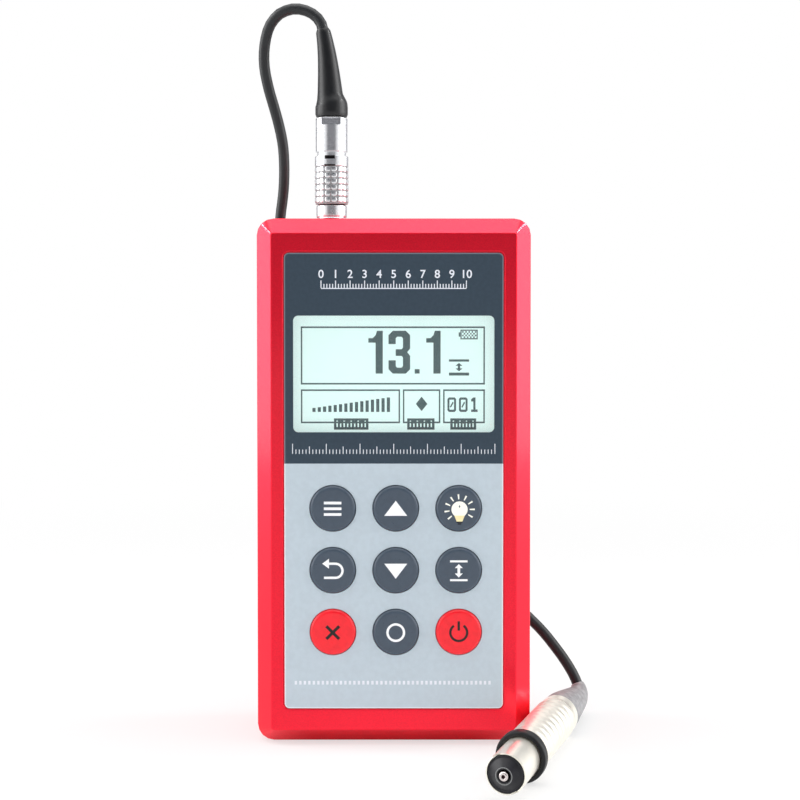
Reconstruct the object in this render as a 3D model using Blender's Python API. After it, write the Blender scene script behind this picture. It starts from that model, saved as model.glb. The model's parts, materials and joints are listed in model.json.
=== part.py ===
"""Coating thickness gauge: a handheld instrument that stands on its lower end, its probe on a cord.

Metres, +Z up, the front faces -Y. The origin is the middle of the housing's lower end.
"""

import math

import bmesh
import bpy
from mathutils import Matrix, Vector

# Clearances
SEAT_GAP = 0.0003  # between a piece and what it rests on
RUN_GAP = 0.0003  # round a piece that slides

# Housing, two shells that meet at a parting plane
FRONT_CHAMFER = 0.0046
FACE_CORNER_R = 0.0004  # what the chamfer leaves of the outline's corner radius on the front face
REAR_CHAMFER = 0.003
SIDE_WALL = 0.002
FRONT_WALL = 0.0028
REAR_WALL = 0.0024
REAR_DEPTH = 0.008
CORNER_STEPS = 4

# Front panel, a printed film in a recess. Its bands add up to the housing's height
PANEL_SIDE_MARGIN = 0.0085
PANEL_BOTTOM_MARGIN = 0.011
PANEL_TOP_MARGIN = 0.0104
PANEL_T = 0.0004
PANEL_BELOW_FACE = 0.0001
PANEL_CORNER_R = 0.0015
FOOT_BAND = 0.0229  # panel's lower edge to the lowest row of keys
KEYS_TO_WINDOW = 0.0226
TITLE_BAND = 0.0186

# Display
WINDOW_W = 0.0596
WINDOW_H = 0.0346
WINDOW_SIDE_MARGIN = 0.0027
WINDOW_CORNER_R = 0.0015
WINDOW_LAP = 0.0009  # the pane reaches this far behind the panel
LCD_LAP = 0.0007  # the frame's opening is this much larger than the window
LCD_RIM = 0.0025
LCD_LIP_T = 0.0006
LCD_GLASS_T = 0.0022
BACKLIGHT_T = 0.002

# Keys
KEY_D = 0.0137
KEY_COLUMN_PITCH = 0.0187
KEY_ROW_PITCH = 0.01845
KEYPAD_SHIFT = 0.0006  # the columns stand this far right of the middle
KEY_PROUD = 0.0005
KEY_CROWN = 0.0002
KEY_EDGE_R = 0.0004
KEY_FLANGE = 0.001
KEY_FLANGE_T = 0.0008
KEY_STEM_D = 0.0035
KEY_STEM_L = 0.0007
KEY_TRAVEL = 0.0004
DOME_D = 0.01
DOME_H = 0.0005
DOME_T = 0.0002
DOME_SHOULDER = 0.6  # of its radius
DOME_SHOULDER_DROP = 0.3  # of its height
KEYPAD_BOARD_T = 0.0016
KEYPAD_POST_D = 0.004
KEYPAD_EDGE = 0.001
KEY_NAMES = (
    ("key_delete", "key_clear", "key_power"),
    ("key_quit", "key_down", "key_limit"),
    ("key_menu", "key_up", "key_light"),
)

# Main board
BOARD_T = 0.0016
BOARD_SIDE_GAP = 0.004
BOARD_Z0 = 0.014
BOARD_TOP_SPACE = 0.017
BOARD_TO_TRAY = 0.0016
BOARD_POST_D = 0.005
BOARD_POST_INSET = 0.004
BUZZER_D = 0.012
BUZZER_H = 0.004
BUZZER_MOUTH_D = 0.0024
BUZZER_INSET = 0.015  # its middle, in from the board's side
BUZZER_BELOW_TOP = 0.028

# Case screws
CASE_SCREW_INSET = 0.007
CASE_SCREW_D = 0.003
CASE_HEAD_D = 0.0055
CASE_HEAD_H = 0.0028
CASE_HEAD_SUNK = 0.0003
CASE_SCREW_L = 0.016
CASE_BOSS_WALL = 0.0009
CASE_SOCKET_D = 0.0029
CASE_SOCKET_DEPTH = 0.0013

# Batteries and their tray
BATTERY_D = 0.0145
BATTERY_L = 0.0505
BATTERY_NUB_D = 0.0055
BATTERY_NUB_L = 0.0015
BATTERY_EDGE = 0.0006
TRAY_WALL = 0.0012
TRAY_Z0 = 0.018
TRAY_RIB_W = 0.001
TRAY_RIB_H = 0.0025
CONTACT_T = 0.0004
CONTACT_W = 0.009
SPRING_L = 0.005
SPRING_TURNS = 3.5
SPRING_BASE_R = 0.0038
SPRING_TIP_R = 0.0022
SPRING_WIRE_R = 0.00035

# Battery cover
COVER_T = 0.0012
COVER_SIDE_LAP = 0.0025
COVER_SCREW_EDGE = 0.0032
COVER_CORNER_R = 0.002
COVER_SCREW_D = 0.002
COVER_HEAD_D = 0.0038
COVER_HEAD_H = 0.0009
COVER_SCREW_L = 0.0055
COVER_BOSS_D = 0.0046
COVER_BOSS_L = 0.0056
COVER_DRIVE_D = 0.0014
COVER_DRIVE_DEPTH = 0.0005

# Probe socket in the top face
SOCKET_X = -0.0191
SOCKET_FLANGE_D = 0.012
SOCKET_FLANGE_T = 0.001
SOCKET_PAD_T = 0.0015
SOCKET_PAD_WALL = 0.0007
SOCKET_WALL = 0.0007
SOCKET_BASE_T = 0.0025
SOCKET_NUT_AF = 0.011
SOCKET_NUT_T = 0.002
INSERT_BASE_T = 0.0018
INSERT_TOWER_L = 0.0054
PIN_COUNT = 4
PIN_CIRCLE_R = 0.0013
PIN_D = 0.0006
PIN_L = 0.004

# Plug
NOZZLE_D = 0.0066
NOZZLE_WALL = 0.0006
NOZZLE_L = 0.0083
PLUG_RING_D = 0.0094
PLUG_RING_L = 0.0042
PLUG_CORE_D = 0.0076
PLUG_THREAD_D = 0.0066
PLUG_THREAD_L = 0.005
PLUG_INSERT_L = 0.0045
SLEEVE_D = 0.0099  # below the knurl's tips
SLEEVE_BAND_D = 0.0103
SLEEVE_LEAD = 0.0004
SLEEVE_BAND_L = 0.0032
SLEEVE_TRAVEL = 0.001
SLEEVE_SKIRT = 0.0003  # the nut's nose reaches this far into the sleeve
KNURL_ROWS = 6
KNURL_COLUMNS = 16
KNURL_PITCH = 0.00185
KNURL_GROOVE = 0.0006
KNURL_H = 0.0003
NUT_D = 0.0098
NUT_L = 0.0105
NUT_FLAT_AF = 0.0077
NUT_FLAT_L = 0.0022
NUT_FLAT_TOP = 0.0003
NUT_CABLE_BORE_D = 0.005
RELIEF_BASE_D = 0.01
RELIEF_BASE_L = 0.0037
RELIEF_NECK_D = 0.0079
RELIEF_NECK_L = 0.0027
RELIEF_TIP_D = 0.0044
RELIEF_TAPER_L = 0.0204
RELIEF_LEAN = 0.0004
RELIEF_SLOPE = 0.0012
RELIEF_CURL = 0.0011  # towards its tip
RELIEF_STEPS = 6

# Cord, by points chosen along its run from the plug to the probe
CORD_D = 0.0034
CORD_STEP = 0.007
CORD_LEAD = 0.0014  # its first and last points stand this close
CORD_ROUTE = (
    (-0.0219, 0.0000, 0.2158),
    (-0.0223, 0.0001, 0.2173),
    (-0.0232, 0.0003, 0.2187),
    (-0.0250, 0.0006, 0.2203),
    (-0.0276, 0.0010, 0.2215),
    (-0.0305, 0.0016, 0.2220),
    (-0.0334, 0.0023, 0.2215),
    (-0.0361, 0.0032, 0.2201),
    (-0.0388, 0.0047, 0.2167),
    (-0.0403, 0.0065, 0.2112),
    (-0.0405, 0.0083, 0.2053),
    (-0.0394, 0.0100, 0.1990),
    (-0.0380, 0.0115, 0.1938),
    (-0.0365, 0.0131, 0.1880),
    (-0.0354, 0.0147, 0.1820),
    (-0.0351, 0.0162, 0.1760),
    (-0.0353, 0.0176, 0.1698),
    (-0.0358, 0.0186, 0.1650),
    (-0.0366, 0.0191, 0.1590),
    (-0.0370, 0.0189, 0.1500),
    (-0.0360, 0.0184, 0.1370),
    (-0.0325, 0.0180, 0.1215),
    (-0.0255, 0.0178, 0.1060),
    (-0.0155, 0.0178, 0.0905),
    (-0.0035, 0.0178, 0.0760),
    (0.0095, 0.0179, 0.0625),
    (0.0225, 0.0182, 0.0500),
    (0.0340, 0.0188, 0.0390),
    (0.0434, 0.0192, 0.0299),
    (0.0485, 0.0182, 0.0248),
    (0.0533, 0.0170, 0.0188),
    (0.0554, 0.0164, 0.0158),
    (0.0569, 0.0159, 0.0134),
    (0.0578, 0.0154, 0.0117),
    (0.0583, 0.0150, 0.0106),
    (0.0586, 0.0146, 0.0098),
)

# Probe, which lies on the floor beside the housing's front right edge
PROBE_YAW = math.radians(20.9)
PROBE_REACH = 0.0465  # its tip stands this far in front of the housing
PROBE_SIDE_GAP = 0.0005
PROBE_L = 0.063  # tip of the pole to the rear of the grip
NOSE_FRONT = 0.0022  # the pole stands this far out of the nose
FACE_D = 0.01
FACE_T = 0.0028
FACE_CONE_D = 0.0088  # the face rises from here to its boss
FACE_BOSS_D = 0.0046
FACE_BOSS_FRONT = 0.0005
FACE_RECESS_D = 0.0042
FACE_RECESS = 0.0004
POLE_D = 0.0026
POLE_L = 0.0167
POLE_TIP_D = 0.001
POLE_TIP_DEPTH = 0.0005
NOSE_D = 0.0111
NOSE_WALL = 0.0004
NOSE_L = 0.0205  # tip of the pole to the shoulder behind the nose
NOSE_STEM_D = 0.0092
NOSE_STEM_WALL = 0.0006
NOSE_STEM_L = 0.0132
NOSE_NOTCH_W = 0.0024
NOSE_NOTCH_DEPTH = 0.0011
NOSE_NOTCH_TURN = math.radians(62)
NOSE_TRAVEL = 0.003
RING_D = 0.0143
RING_FRONT = 0.0164
RING_LIP_T = 0.0008
RING_L = 0.0033
GRIP_D = 0.0122
GRIP_NECK_WALL = 0.0004
GRIP_RIDGE_H = 0.0003
GRIP_RIDGES = 9
GRIP_RIDGE_PITCH = 0.0036
GRIP_RIDGE_START = 0.0242
GRIP_BAND_L = 0.0072  # smooth rear band, behind a groove
GRIP_GROOVE_W = 0.0005
GRIP_BORE_END = 0.0075  # the grip's solid rear end
GRIP_CABLE_D = 0.0044
COIL_D = 0.0086
COIL_FLANGE_T = 0.0008
COIL_CORE_D = 0.0052
COIL_L = 0.0092
PROBE_SPRING_TURNS = 6
PROBE_SPRING_WIRE_R = 0.0004
CLAMP_L = 0.006
CLAMP_BORE_D = 0.004
BOOT_BASE_D = 0.0118
BOOT_TIP_D = 0.0042
BOOT_REACH = 0.011  # how strongly the boot keeps the grip's direction
BOOT_TURN_UP = 0.0048  # and the cord's direction at its tip
BOOT_LEAD = 0.0005  # its last stretch runs straight into the cord
BOOT_STEPS = 6

# Fineness
KEY_SIDES = 16
ROUND_SIDES = 18
PLUG_SIDES = 16
BOSS_SIDES = 14
SMALL_SIDES = 10
PIN_SIDES = 8
HEX = 6
COIL_STEPS = 8  # points in each turn of a spring
SPRING_RESOLUTION = 0  # a wire of four sides
ROUTE_STEPS = 8  # steps between two of the cord's chosen points

# Finishes: colour, roughness, metallic
FINISHES = {
    "red_metal": ((0.70, 0.03, 0.05), 0.42, 0.35),
    "panel_film": ((0.50, 0.58, 0.63), 0.45, 0.0),
    "clear_pane": ((0.80, 0.93, 0.91), 0.1, 0.0),
    "lcd_mint": ((0.72, 0.90, 0.86), 0.25, 0.0),
    "slate_key": ((0.08, 0.10, 0.13), 0.35, 0.0),
    "red_key": ((0.85, 0.02, 0.03), 0.35, 0.0),
    "board_green": ((0.03, 0.18, 0.08), 0.5, 0.0),
    "spring_steel": ((0.62, 0.61, 0.58), 0.3, 1.0),
    "screw_steel": ((0.35, 0.35, 0.36), 0.35, 1.0),
    "chrome": ((0.82, 0.81, 0.79), 0.12, 1.0),
    "black_plastic": ((0.02, 0.02, 0.022), 0.5, 0.0),
    "black_rubber": ((0.025, 0.026, 0.028), 0.6, 0.0),
    "grey_rubber": ((0.28, 0.28, 0.30), 0.6, 0.0),
    "battery_wrap": ((0.10, 0.12, 0.15), 0.4, 0.3),
    "brass": ((0.70, 0.52, 0.22), 0.25, 1.0),
    "copper": ((0.60, 0.28, 0.14), 0.35, 1.0),
    "white_plastic": ((0.75, 0.76, 0.75), 0.4, 0.0),
}

# Worked out from the sizes above
WELD = 1e-7
SMOOTH_ANGLE = math.radians(35)
CUT_PAST = 0.001  # a cutter runs this far past what it cuts

PANEL_W = WINDOW_W + 2 * WINDOW_SIDE_MARGIN
HOUSING_W = PANEL_W + 2 * PANEL_SIDE_MARGIN
KEY_ROWS_Z = [
    PANEL_BOTTOM_MARGIN + FOOT_BAND + row * KEY_ROW_PITCH for row in range(len(KEY_NAMES))
]
KEY_COLUMNS_X = [KEYPAD_SHIFT + column * KEY_COLUMN_PITCH for column in (-1, 0, 1)]
WINDOW_Z0 = KEY_ROWS_Z[-1] + KEYS_TO_WINDOW
WINDOW_MID_Z = WINDOW_Z0 + WINDOW_H / 2
PANEL_Z1 = WINDOW_Z0 + WINDOW_H + TITLE_BAND
PANEL_H = PANEL_Z1 - PANEL_BOTTOM_MARGIN
PANEL_MID_Z = PANEL_BOTTOM_MARGIN + PANEL_H / 2
HOUSING_H = PANEL_Z1 + PANEL_TOP_MARGIN

# Depths are measured back from the housing's front face
PANEL_BACK = PANEL_BELOW_FACE + PANEL_T
RECESS_DEPTH = PANEL_BACK + SEAT_GAP
LCD_FRAME_FRONT = FRONT_WALL + SEAT_GAP
LCD_GLASS_FRONT = LCD_FRAME_FRONT + LCD_LIP_T + SEAT_GAP
BACKLIGHT_FRONT = LCD_GLASS_FRONT + LCD_GLASS_T + SEAT_GAP
LCD_FRAME_BACK = BACKLIGHT_FRONT + BACKLIGHT_T + SEAT_GAP
BOARD_FRONT = LCD_FRAME_BACK + SEAT_GAP
BOARD_BACK = BOARD_FRONT + BOARD_T
TRAY_FRONT = BOARD_BACK + BOARD_TO_TRAY
BATTERY_MID = TRAY_FRONT + TRAY_WALL + SEAT_GAP + BATTERY_D / 2
REAR_INNER = BATTERY_MID + BATTERY_D / 2 + SEAT_GAP
HOUSING_D = REAR_INNER + REAR_WALL
KEY_FLANGE_FRONT = FRONT_WALL + SEAT_GAP
KEY_STEM_END = KEY_FLANGE_FRONT + KEY_FLANGE_T + KEY_STEM_L
DOME_TOP = KEY_STEM_END + KEY_TRAVEL + SEAT_GAP
KEYPAD_BOARD_FRONT = DOME_TOP + DOME_H + SEAT_GAP

FRONT_Y = -HOUSING_D / 2
PARTING_Y = HOUSING_D / 2 - REAR_DEPTH
OUTLINE_R = FRONT_CHAMFER + FACE_CORNER_R

LCD_OPENING_W = WINDOW_W + 2 * LCD_LAP
LCD_OPENING_H = WINDOW_H + 2 * LCD_LAP
LCD_FRAME_W = LCD_OPENING_W + 2 * LCD_RIM
LCD_FRAME_H = LCD_OPENING_H + 2 * LCD_RIM
KEYPAD_BOARD_W = 2 * (KEY_COLUMN_PITCH + KEY_D / 2 + KEY_FLANGE + KEYPAD_EDGE)
KEYPAD_BOARD_H = 2 * (KEY_ROW_PITCH + KEY_D / 2 + KEY_FLANGE + KEYPAD_EDGE)
BOARD_W = HOUSING_W - 2 * (SIDE_WALL + BOARD_SIDE_GAP)
BOARD_Z1 = HOUSING_H - BOARD_TOP_SPACE

TRAY_INNER_W = 2 * BATTERY_D + 3 * SEAT_GAP
TRAY_INNER_L = BATTERY_L + SPRING_L + 2 * CONTACT_T + 5 * SEAT_GAP
TRAY_MID_Z = TRAY_Z0 + TRAY_WALL + TRAY_INNER_L / 2
TRAY_H = TRAY_INNER_L + 2 * TRAY_WALL
COVER_SCREW_REACH = TRAY_H / 2 + COVER_BOSS_D / 2 + SEAT_GAP
COVER_W = TRAY_INNER_W + 2 * COVER_SIDE_LAP
COVER_H = 2 * (COVER_SCREW_REACH + COVER_SCREW_EDGE)

SOCKET_BORE_D = NOZZLE_D + 2 * RUN_GAP
SOCKET_BODY_D = SOCKET_BORE_D + 2 * SOCKET_WALL
SOCKET_HOLE_D = SOCKET_BODY_D + 2 * SEAT_GAP
SOCKET_NUT_Z1 = HOUSING_H - SIDE_WALL - SOCKET_PAD_T - SEAT_GAP
PLUG_RING_Z = HOUSING_H + SEAT_GAP
NOZZLE_Z0 = PLUG_RING_Z - NOZZLE_L
INSERT_BASE_Z1 = NOZZLE_Z0 - RUN_GAP
INSERT_BASE_Z0 = INSERT_BASE_Z1 - INSERT_BASE_T
INSERT_TOWER_Z1 = INSERT_BASE_Z1 + INSERT_TOWER_L
SOCKET_BORE_Z0 = INSERT_BASE_Z0 - SEAT_GAP
PLUG_INSERT_Z0 = INSERT_TOWER_Z1 + RUN_GAP
SLEEVE_Z0 = PLUG_RING_Z + PLUG_RING_L + RUN_GAP
SLEEVE_L = SLEEVE_LEAD + KNURL_ROWS * KNURL_PITCH + SLEEVE_BAND_L
NUT_Z0 = SLEEVE_Z0 + SLEEVE_L + SLEEVE_TRAVEL + RUN_GAP
NUT_NOSE_Z0 = SLEEVE_Z0 + SLEEVE_L - SLEEVE_SKIRT
RELIEF_Z0 = NUT_Z0 + NUT_L + SEAT_GAP

NECK_BORE_D = NOSE_D + 2 * RUN_GAP
NECK_D = NECK_BORE_D + 2 * GRIP_NECK_WALL
GRIP_BORE_D = NOSE_STEM_D + 2 * RUN_GAP
RIDGE_D = GRIP_D + 2 * GRIP_RIDGE_H
GRIP_SHOULDER = RING_FRONT + RING_L + SEAT_GAP
NECK_START = RING_FRONT + RING_LIP_T + SEAT_GAP
GRIP_STEP = NOSE_L + NOSE_TRAVEL + RUN_GAP
SPRING_START = NOSE_L + NOSE_STEM_L + SEAT_GAP
GRIP_BORE_Z1 = PROBE_L - GRIP_BORE_END
CLAMP_START = GRIP_BORE_Z1 - SEAT_GAP - CLAMP_L
PROBE_SPRING_L = CLAMP_START - SEAT_GAP - SPRING_START
RING_ROUND = RING_LIP_T / 2
RING_REST = RING_FRONT + RING_L - RING_ROUND  # where the ring meets the floor
GRIP_REST = PROBE_L - GRIP_NECK_WALL  # where the grip's rear edge meets it
PROBE_TILT = math.atan((RING_D - GRIP_D) / 2 / (GRIP_REST - RING_REST))


def clear_scene():
    for obj in list(bpy.data.objects):
        bpy.data.objects.remove(obj)


def finish(name):
    """The Principled material of this name, made on first use."""
    material = bpy.data.materials.get(name)
    if material:
        return material
    colour, roughness, metallic = FINISHES[name]
    material = bpy.data.materials.new(name)
    material.use_nodes = True
    shader = material.node_tree.nodes["Principled BSDF"]
    shader.inputs["Base Color"].default_value = (*colour, 1)
    shader.inputs["Roughness"].default_value = roughness
    shader.inputs["Metallic"].default_value = metallic
    material.diffuse_color = (*colour, 1)
    return material


def place(name, data, finish_name, location, rotation, parent):
    obj = bpy.data.objects.new(name, data)
    data.materials.append(finish(finish_name))
    obj.location = location
    obj.rotation_euler = rotation
    obj.parent = parent
    bpy.context.scene.collection.objects.link(obj)
    return obj


def piece(name, bm, finish_name, location=(0, 0, 0), rotation=(0, 0, 0), parent=None):
    """An object made from a bmesh, shaded smooth but for its sharp edges."""
    mesh = bpy.data.meshes.new(name)
    bmesh.ops.recalc_face_normals(bm, faces=bm.faces)
    bm.to_mesh(mesh)
    bm.free()
    mesh.shade_smooth()
    mesh.set_sharp_from_angle(angle=SMOOTH_ANGLE)
    return place(name, mesh, finish_name, location, rotation, parent)


def helper(target, name, bm, operation, parent=None):
    """Cuts a shape from the target, or joins it on, with a hidden object and a Boolean modifier."""
    tool = piece(target.name + "_" + name, bm, "black_plastic")
    tool.location = target.location
    tool.rotation_euler = target.rotation_euler
    tool.parent = parent
    tool.hide_render = True
    tool.display_type = "WIRE"
    modifier = target.modifiers.new(name, "BOOLEAN")
    modifier.operation = operation
    modifier.object = tool
    modifier.solver = "EXACT"


def turned(profile, sides=ROUND_SIDES):
    """A profile of (radius, height) points turned about local Z, closed in a loop if it starts off the axis."""
    bm = bmesh.new()
    verts = [bm.verts.new((radius, 0, height)) for radius, height in profile]
    following = verts[1:]
    if profile[0][0] > 0:
        following.append(verts[0])
    edges = [bm.edges.new(pair) for pair in zip(verts, following)]
    bmesh.ops.spin(
        bm,
        geom=verts + edges,
        axis=(0, 0, 1),
        cent=(0, 0, 0),
        angle=math.tau,
        steps=sides,
        use_merge=True,
    )
    bmesh.ops.remove_doubles(bm, verts=bm.verts, dist=WELD)
    return bm


def rounded_slab(width, height, front, back, corner, steps=CORNER_STEPS, centre=(0, 0)):
    """A plate that faces -Y between two depths, its corners rounded, about a centre in X and Z."""
    bm = bmesh.new()
    turn = Matrix.Rotation(math.pi / 2, 4, "X")
    size = Matrix.Diagonal((width, height, 1, 1))
    bmesh.ops.create_grid(bm, x_segments=1, y_segments=1, size=0.5, matrix=turn @ size)
    if corner > 0:
        bmesh.ops.bevel(
            bm,
            geom=bm.verts[:],
            offset=corner,
            affect="VERTICES",
            segments=steps,
            profile=0.5,
            clamp_overlap=True,
        )
    made = bmesh.ops.extrude_face_region(bm, geom=bm.faces[:])
    moved = [part for part in made["geom"] if isinstance(part, bmesh.types.BMVert)]
    bmesh.ops.translate(bm, verts=moved, vec=(0, back - front, 0))
    bmesh.ops.translate(bm, verts=bm.verts, vec=(centre[0], FRONT_Y + front, centre[1]))
    return bm


def chamfer_at(bm, depth, size):
    """Chamfers the whole outline at one depth."""
    y = FRONT_Y + depth
    outline = [
        edge for edge in bm.edges if all(abs(vert.co.y - y) < WELD for vert in edge.verts)
    ]
    bmesh.ops.bevel(
        bm,
        geom=outline,
        offset=size,
        affect="EDGES",
        segments=1,
        profile=0.5,
        clamp_overlap=False,
    )


def add_rod(bm, radius, start, end, sides=SMALL_SIDES, end_radius=None):
    """Adds a rod or a cone between two points."""
    start, end = Vector(start), Vector(end)
    along = end - start
    turn = along.to_track_quat("Z", "Y").to_matrix().to_4x4()
    bmesh.ops.create_cone(
        bm,
        cap_ends=True,
        cap_tris=False,
        segments=sides,
        radius1=radius,
        radius2=radius if end_radius is None else end_radius,
        depth=along.length,
        matrix=Matrix.Translation((start + end) / 2) @ turn,
    )


def add_box(bm, low, high):
    low, high = Vector(low), Vector(high)
    size = Matrix.Diagonal((*(high - low), 1))
    bmesh.ops.create_cube(bm, size=1, matrix=Matrix.Translation((low + high) / 2) @ size)


def add_rod_back(bm, radius, x, z, front, back, sides=SMALL_SIDES, end_radius=None):
    """Adds a rod that runs from one depth to another at this x and z."""
    start = (x, FRONT_Y + front, z)
    add_rod(bm, radius, start, (x, FRONT_Y + back, z), sides, end_radius)


def merged(*shapes):
    """One bmesh that holds several, which stand clear of each other."""
    whole = shapes[0]
    for shape in shapes[1:]:
        mesh = bpy.data.meshes.new("joined")
        shape.to_mesh(mesh)
        shape.free()
        whole.from_mesh(mesh)
        bpy.data.meshes.remove(mesh)
    return whole


def key_places():
    for names, z in zip(KEY_NAMES, KEY_ROWS_Z):
        for name, x in zip(names, KEY_COLUMNS_X):
            yield name, x, z


def case_screw_places():
    for z in (CASE_SCREW_INSET, HOUSING_H - CASE_SCREW_INSET):
        for side in (-1, 1):
            yield side * (HOUSING_W / 2 - CASE_SCREW_INSET), z


def cover_screw_places():
    return [(0, TRAY_MID_Z + side * COVER_SCREW_REACH) for side in (1, -1)]


def board_post_places():
    keypad_mid = KEY_ROWS_Z[1]
    below = keypad_mid - KEYPAD_BOARD_H / 2 - BOARD_POST_INSET
    lcd_low = WINDOW_MID_Z - LCD_FRAME_H / 2
    between = (keypad_mid + KEYPAD_BOARD_H / 2 + lcd_low) / 2
    above = WINDOW_MID_Z + LCD_FRAME_H / 2 + BOARD_POST_INSET
    for z in (below, between, above):
        for side in (-1, 1):
            yield side * (BOARD_W / 2 - BOARD_POST_INSET), z


def keypad_post_places():
    for column in (-0.5, 0.5):
        for row in (0.5, 1.5):
            yield KEYPAD_SHIFT + column * KEY_COLUMN_PITCH, KEY_ROWS_Z[0] + row * KEY_ROW_PITCH


def make_front_shell():
    parting = PARTING_Y - FRONT_Y - SEAT_GAP / 2
    mid = (0, HOUSING_H / 2)
    outer = rounded_slab(HOUSING_W, HOUSING_H, 0, parting, OUTLINE_R, centre=mid)
    chamfer_at(outer, 0, FRONT_CHAMFER)
    shell = piece("front_shell", outer, "red_metal")

    # The hollow keeps the side wall's thickness behind the chamfer too
    inner_chamfer = FRONT_CHAMFER - FRONT_WALL + SIDE_WALL * (math.sqrt(2) - 1)
    inner_r = max(OUTLINE_R - SIDE_WALL, inner_chamfer + FACE_CORNER_R)
    hollow = rounded_slab(
        HOUSING_W - 2 * SIDE_WALL,
        HOUSING_H - 2 * SIDE_WALL,
        FRONT_WALL,
        parting + CUT_PAST,
        inner_r,
        centre=mid,
    )
    chamfer_at(hollow, FRONT_WALL, inner_chamfer)
    helper(shell, "hollow", hollow, "DIFFERENCE")

    posts = bmesh.new()
    root = FRONT_WALL - CUT_PAST
    for x, z in case_screw_places():
        add_rod_back(posts, CASE_SCREW_D / 2 + RUN_GAP + CASE_BOSS_WALL, x, z, root, parting)
    for x, z in board_post_places():
        add_rod_back(posts, BOARD_POST_D / 2, x, z, root, BOARD_FRONT - SEAT_GAP)
    for x, z in keypad_post_places():
        add_rod_back(posts, KEYPAD_POST_D / 2, x, z, root, KEYPAD_BOARD_FRONT - SEAT_GAP, PIN_SIDES)
    pad_top = HOUSING_H - SIDE_WALL
    pad_r = SOCKET_FLANGE_D / 2 + SOCKET_PAD_WALL
    add_rod(
        posts,
        pad_r,
        (SOCKET_X, 0, pad_top - SOCKET_PAD_T),
        (SOCKET_X, 0, pad_top + SIDE_WALL / 4),
        ROUND_SIDES,
    )
    helper(shell, "posts", posts, "UNION")

    recess = rounded_slab(
        PANEL_W + 2 * SEAT_GAP,
        PANEL_H + 2 * SEAT_GAP,
        -CUT_PAST,
        RECESS_DEPTH,
        PANEL_CORNER_R + SEAT_GAP,
        centre=(0, PANEL_MID_Z),
    )
    helper(shell, "recess", recess, "DIFFERENCE")

    through = FRONT_WALL + SEAT_GAP / 2
    holes = rounded_slab(
        WINDOW_W + 2 * (WINDOW_LAP + SEAT_GAP),
        WINDOW_H + 2 * (WINDOW_LAP + SEAT_GAP),
        0,
        through,
        WINDOW_CORNER_R + WINDOW_LAP,
        centre=(0, WINDOW_MID_Z),
    )
    for name, x, z in key_places():
        add_rod_back(holes, KEY_D / 2 + RUN_GAP, x, z, 0, through, KEY_SIDES)
    for x, z in case_screw_places():
        deep = REAR_INNER - CASE_SCREW_L
        add_rod_back(holes, CASE_SCREW_D / 2 + RUN_GAP, x, z, deep, parting + CUT_PAST)
    helper(shell, "holes", holes, "DIFFERENCE")

    socket = turned(
        [
            (0, pad_top - SOCKET_PAD_T - CUT_PAST),
            (SOCKET_HOLE_D / 2, pad_top - SOCKET_PAD_T - CUT_PAST),
            (SOCKET_HOLE_D / 2, HOUSING_H - SOCKET_FLANGE_T - SEAT_GAP),
            (SOCKET_FLANGE_D / 2 + SEAT_GAP, HOUSING_H - SOCKET_FLANGE_T - SEAT_GAP),
            (SOCKET_FLANGE_D / 2 + SEAT_GAP, HOUSING_H + CUT_PAST),
            (0, HOUSING_H + CUT_PAST),
        ]
    )
    bmesh.ops.translate(socket, verts=socket.verts, vec=(SOCKET_X, 0, 0))
    helper(shell, "socket_hole", socket, "DIFFERENCE")


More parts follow.
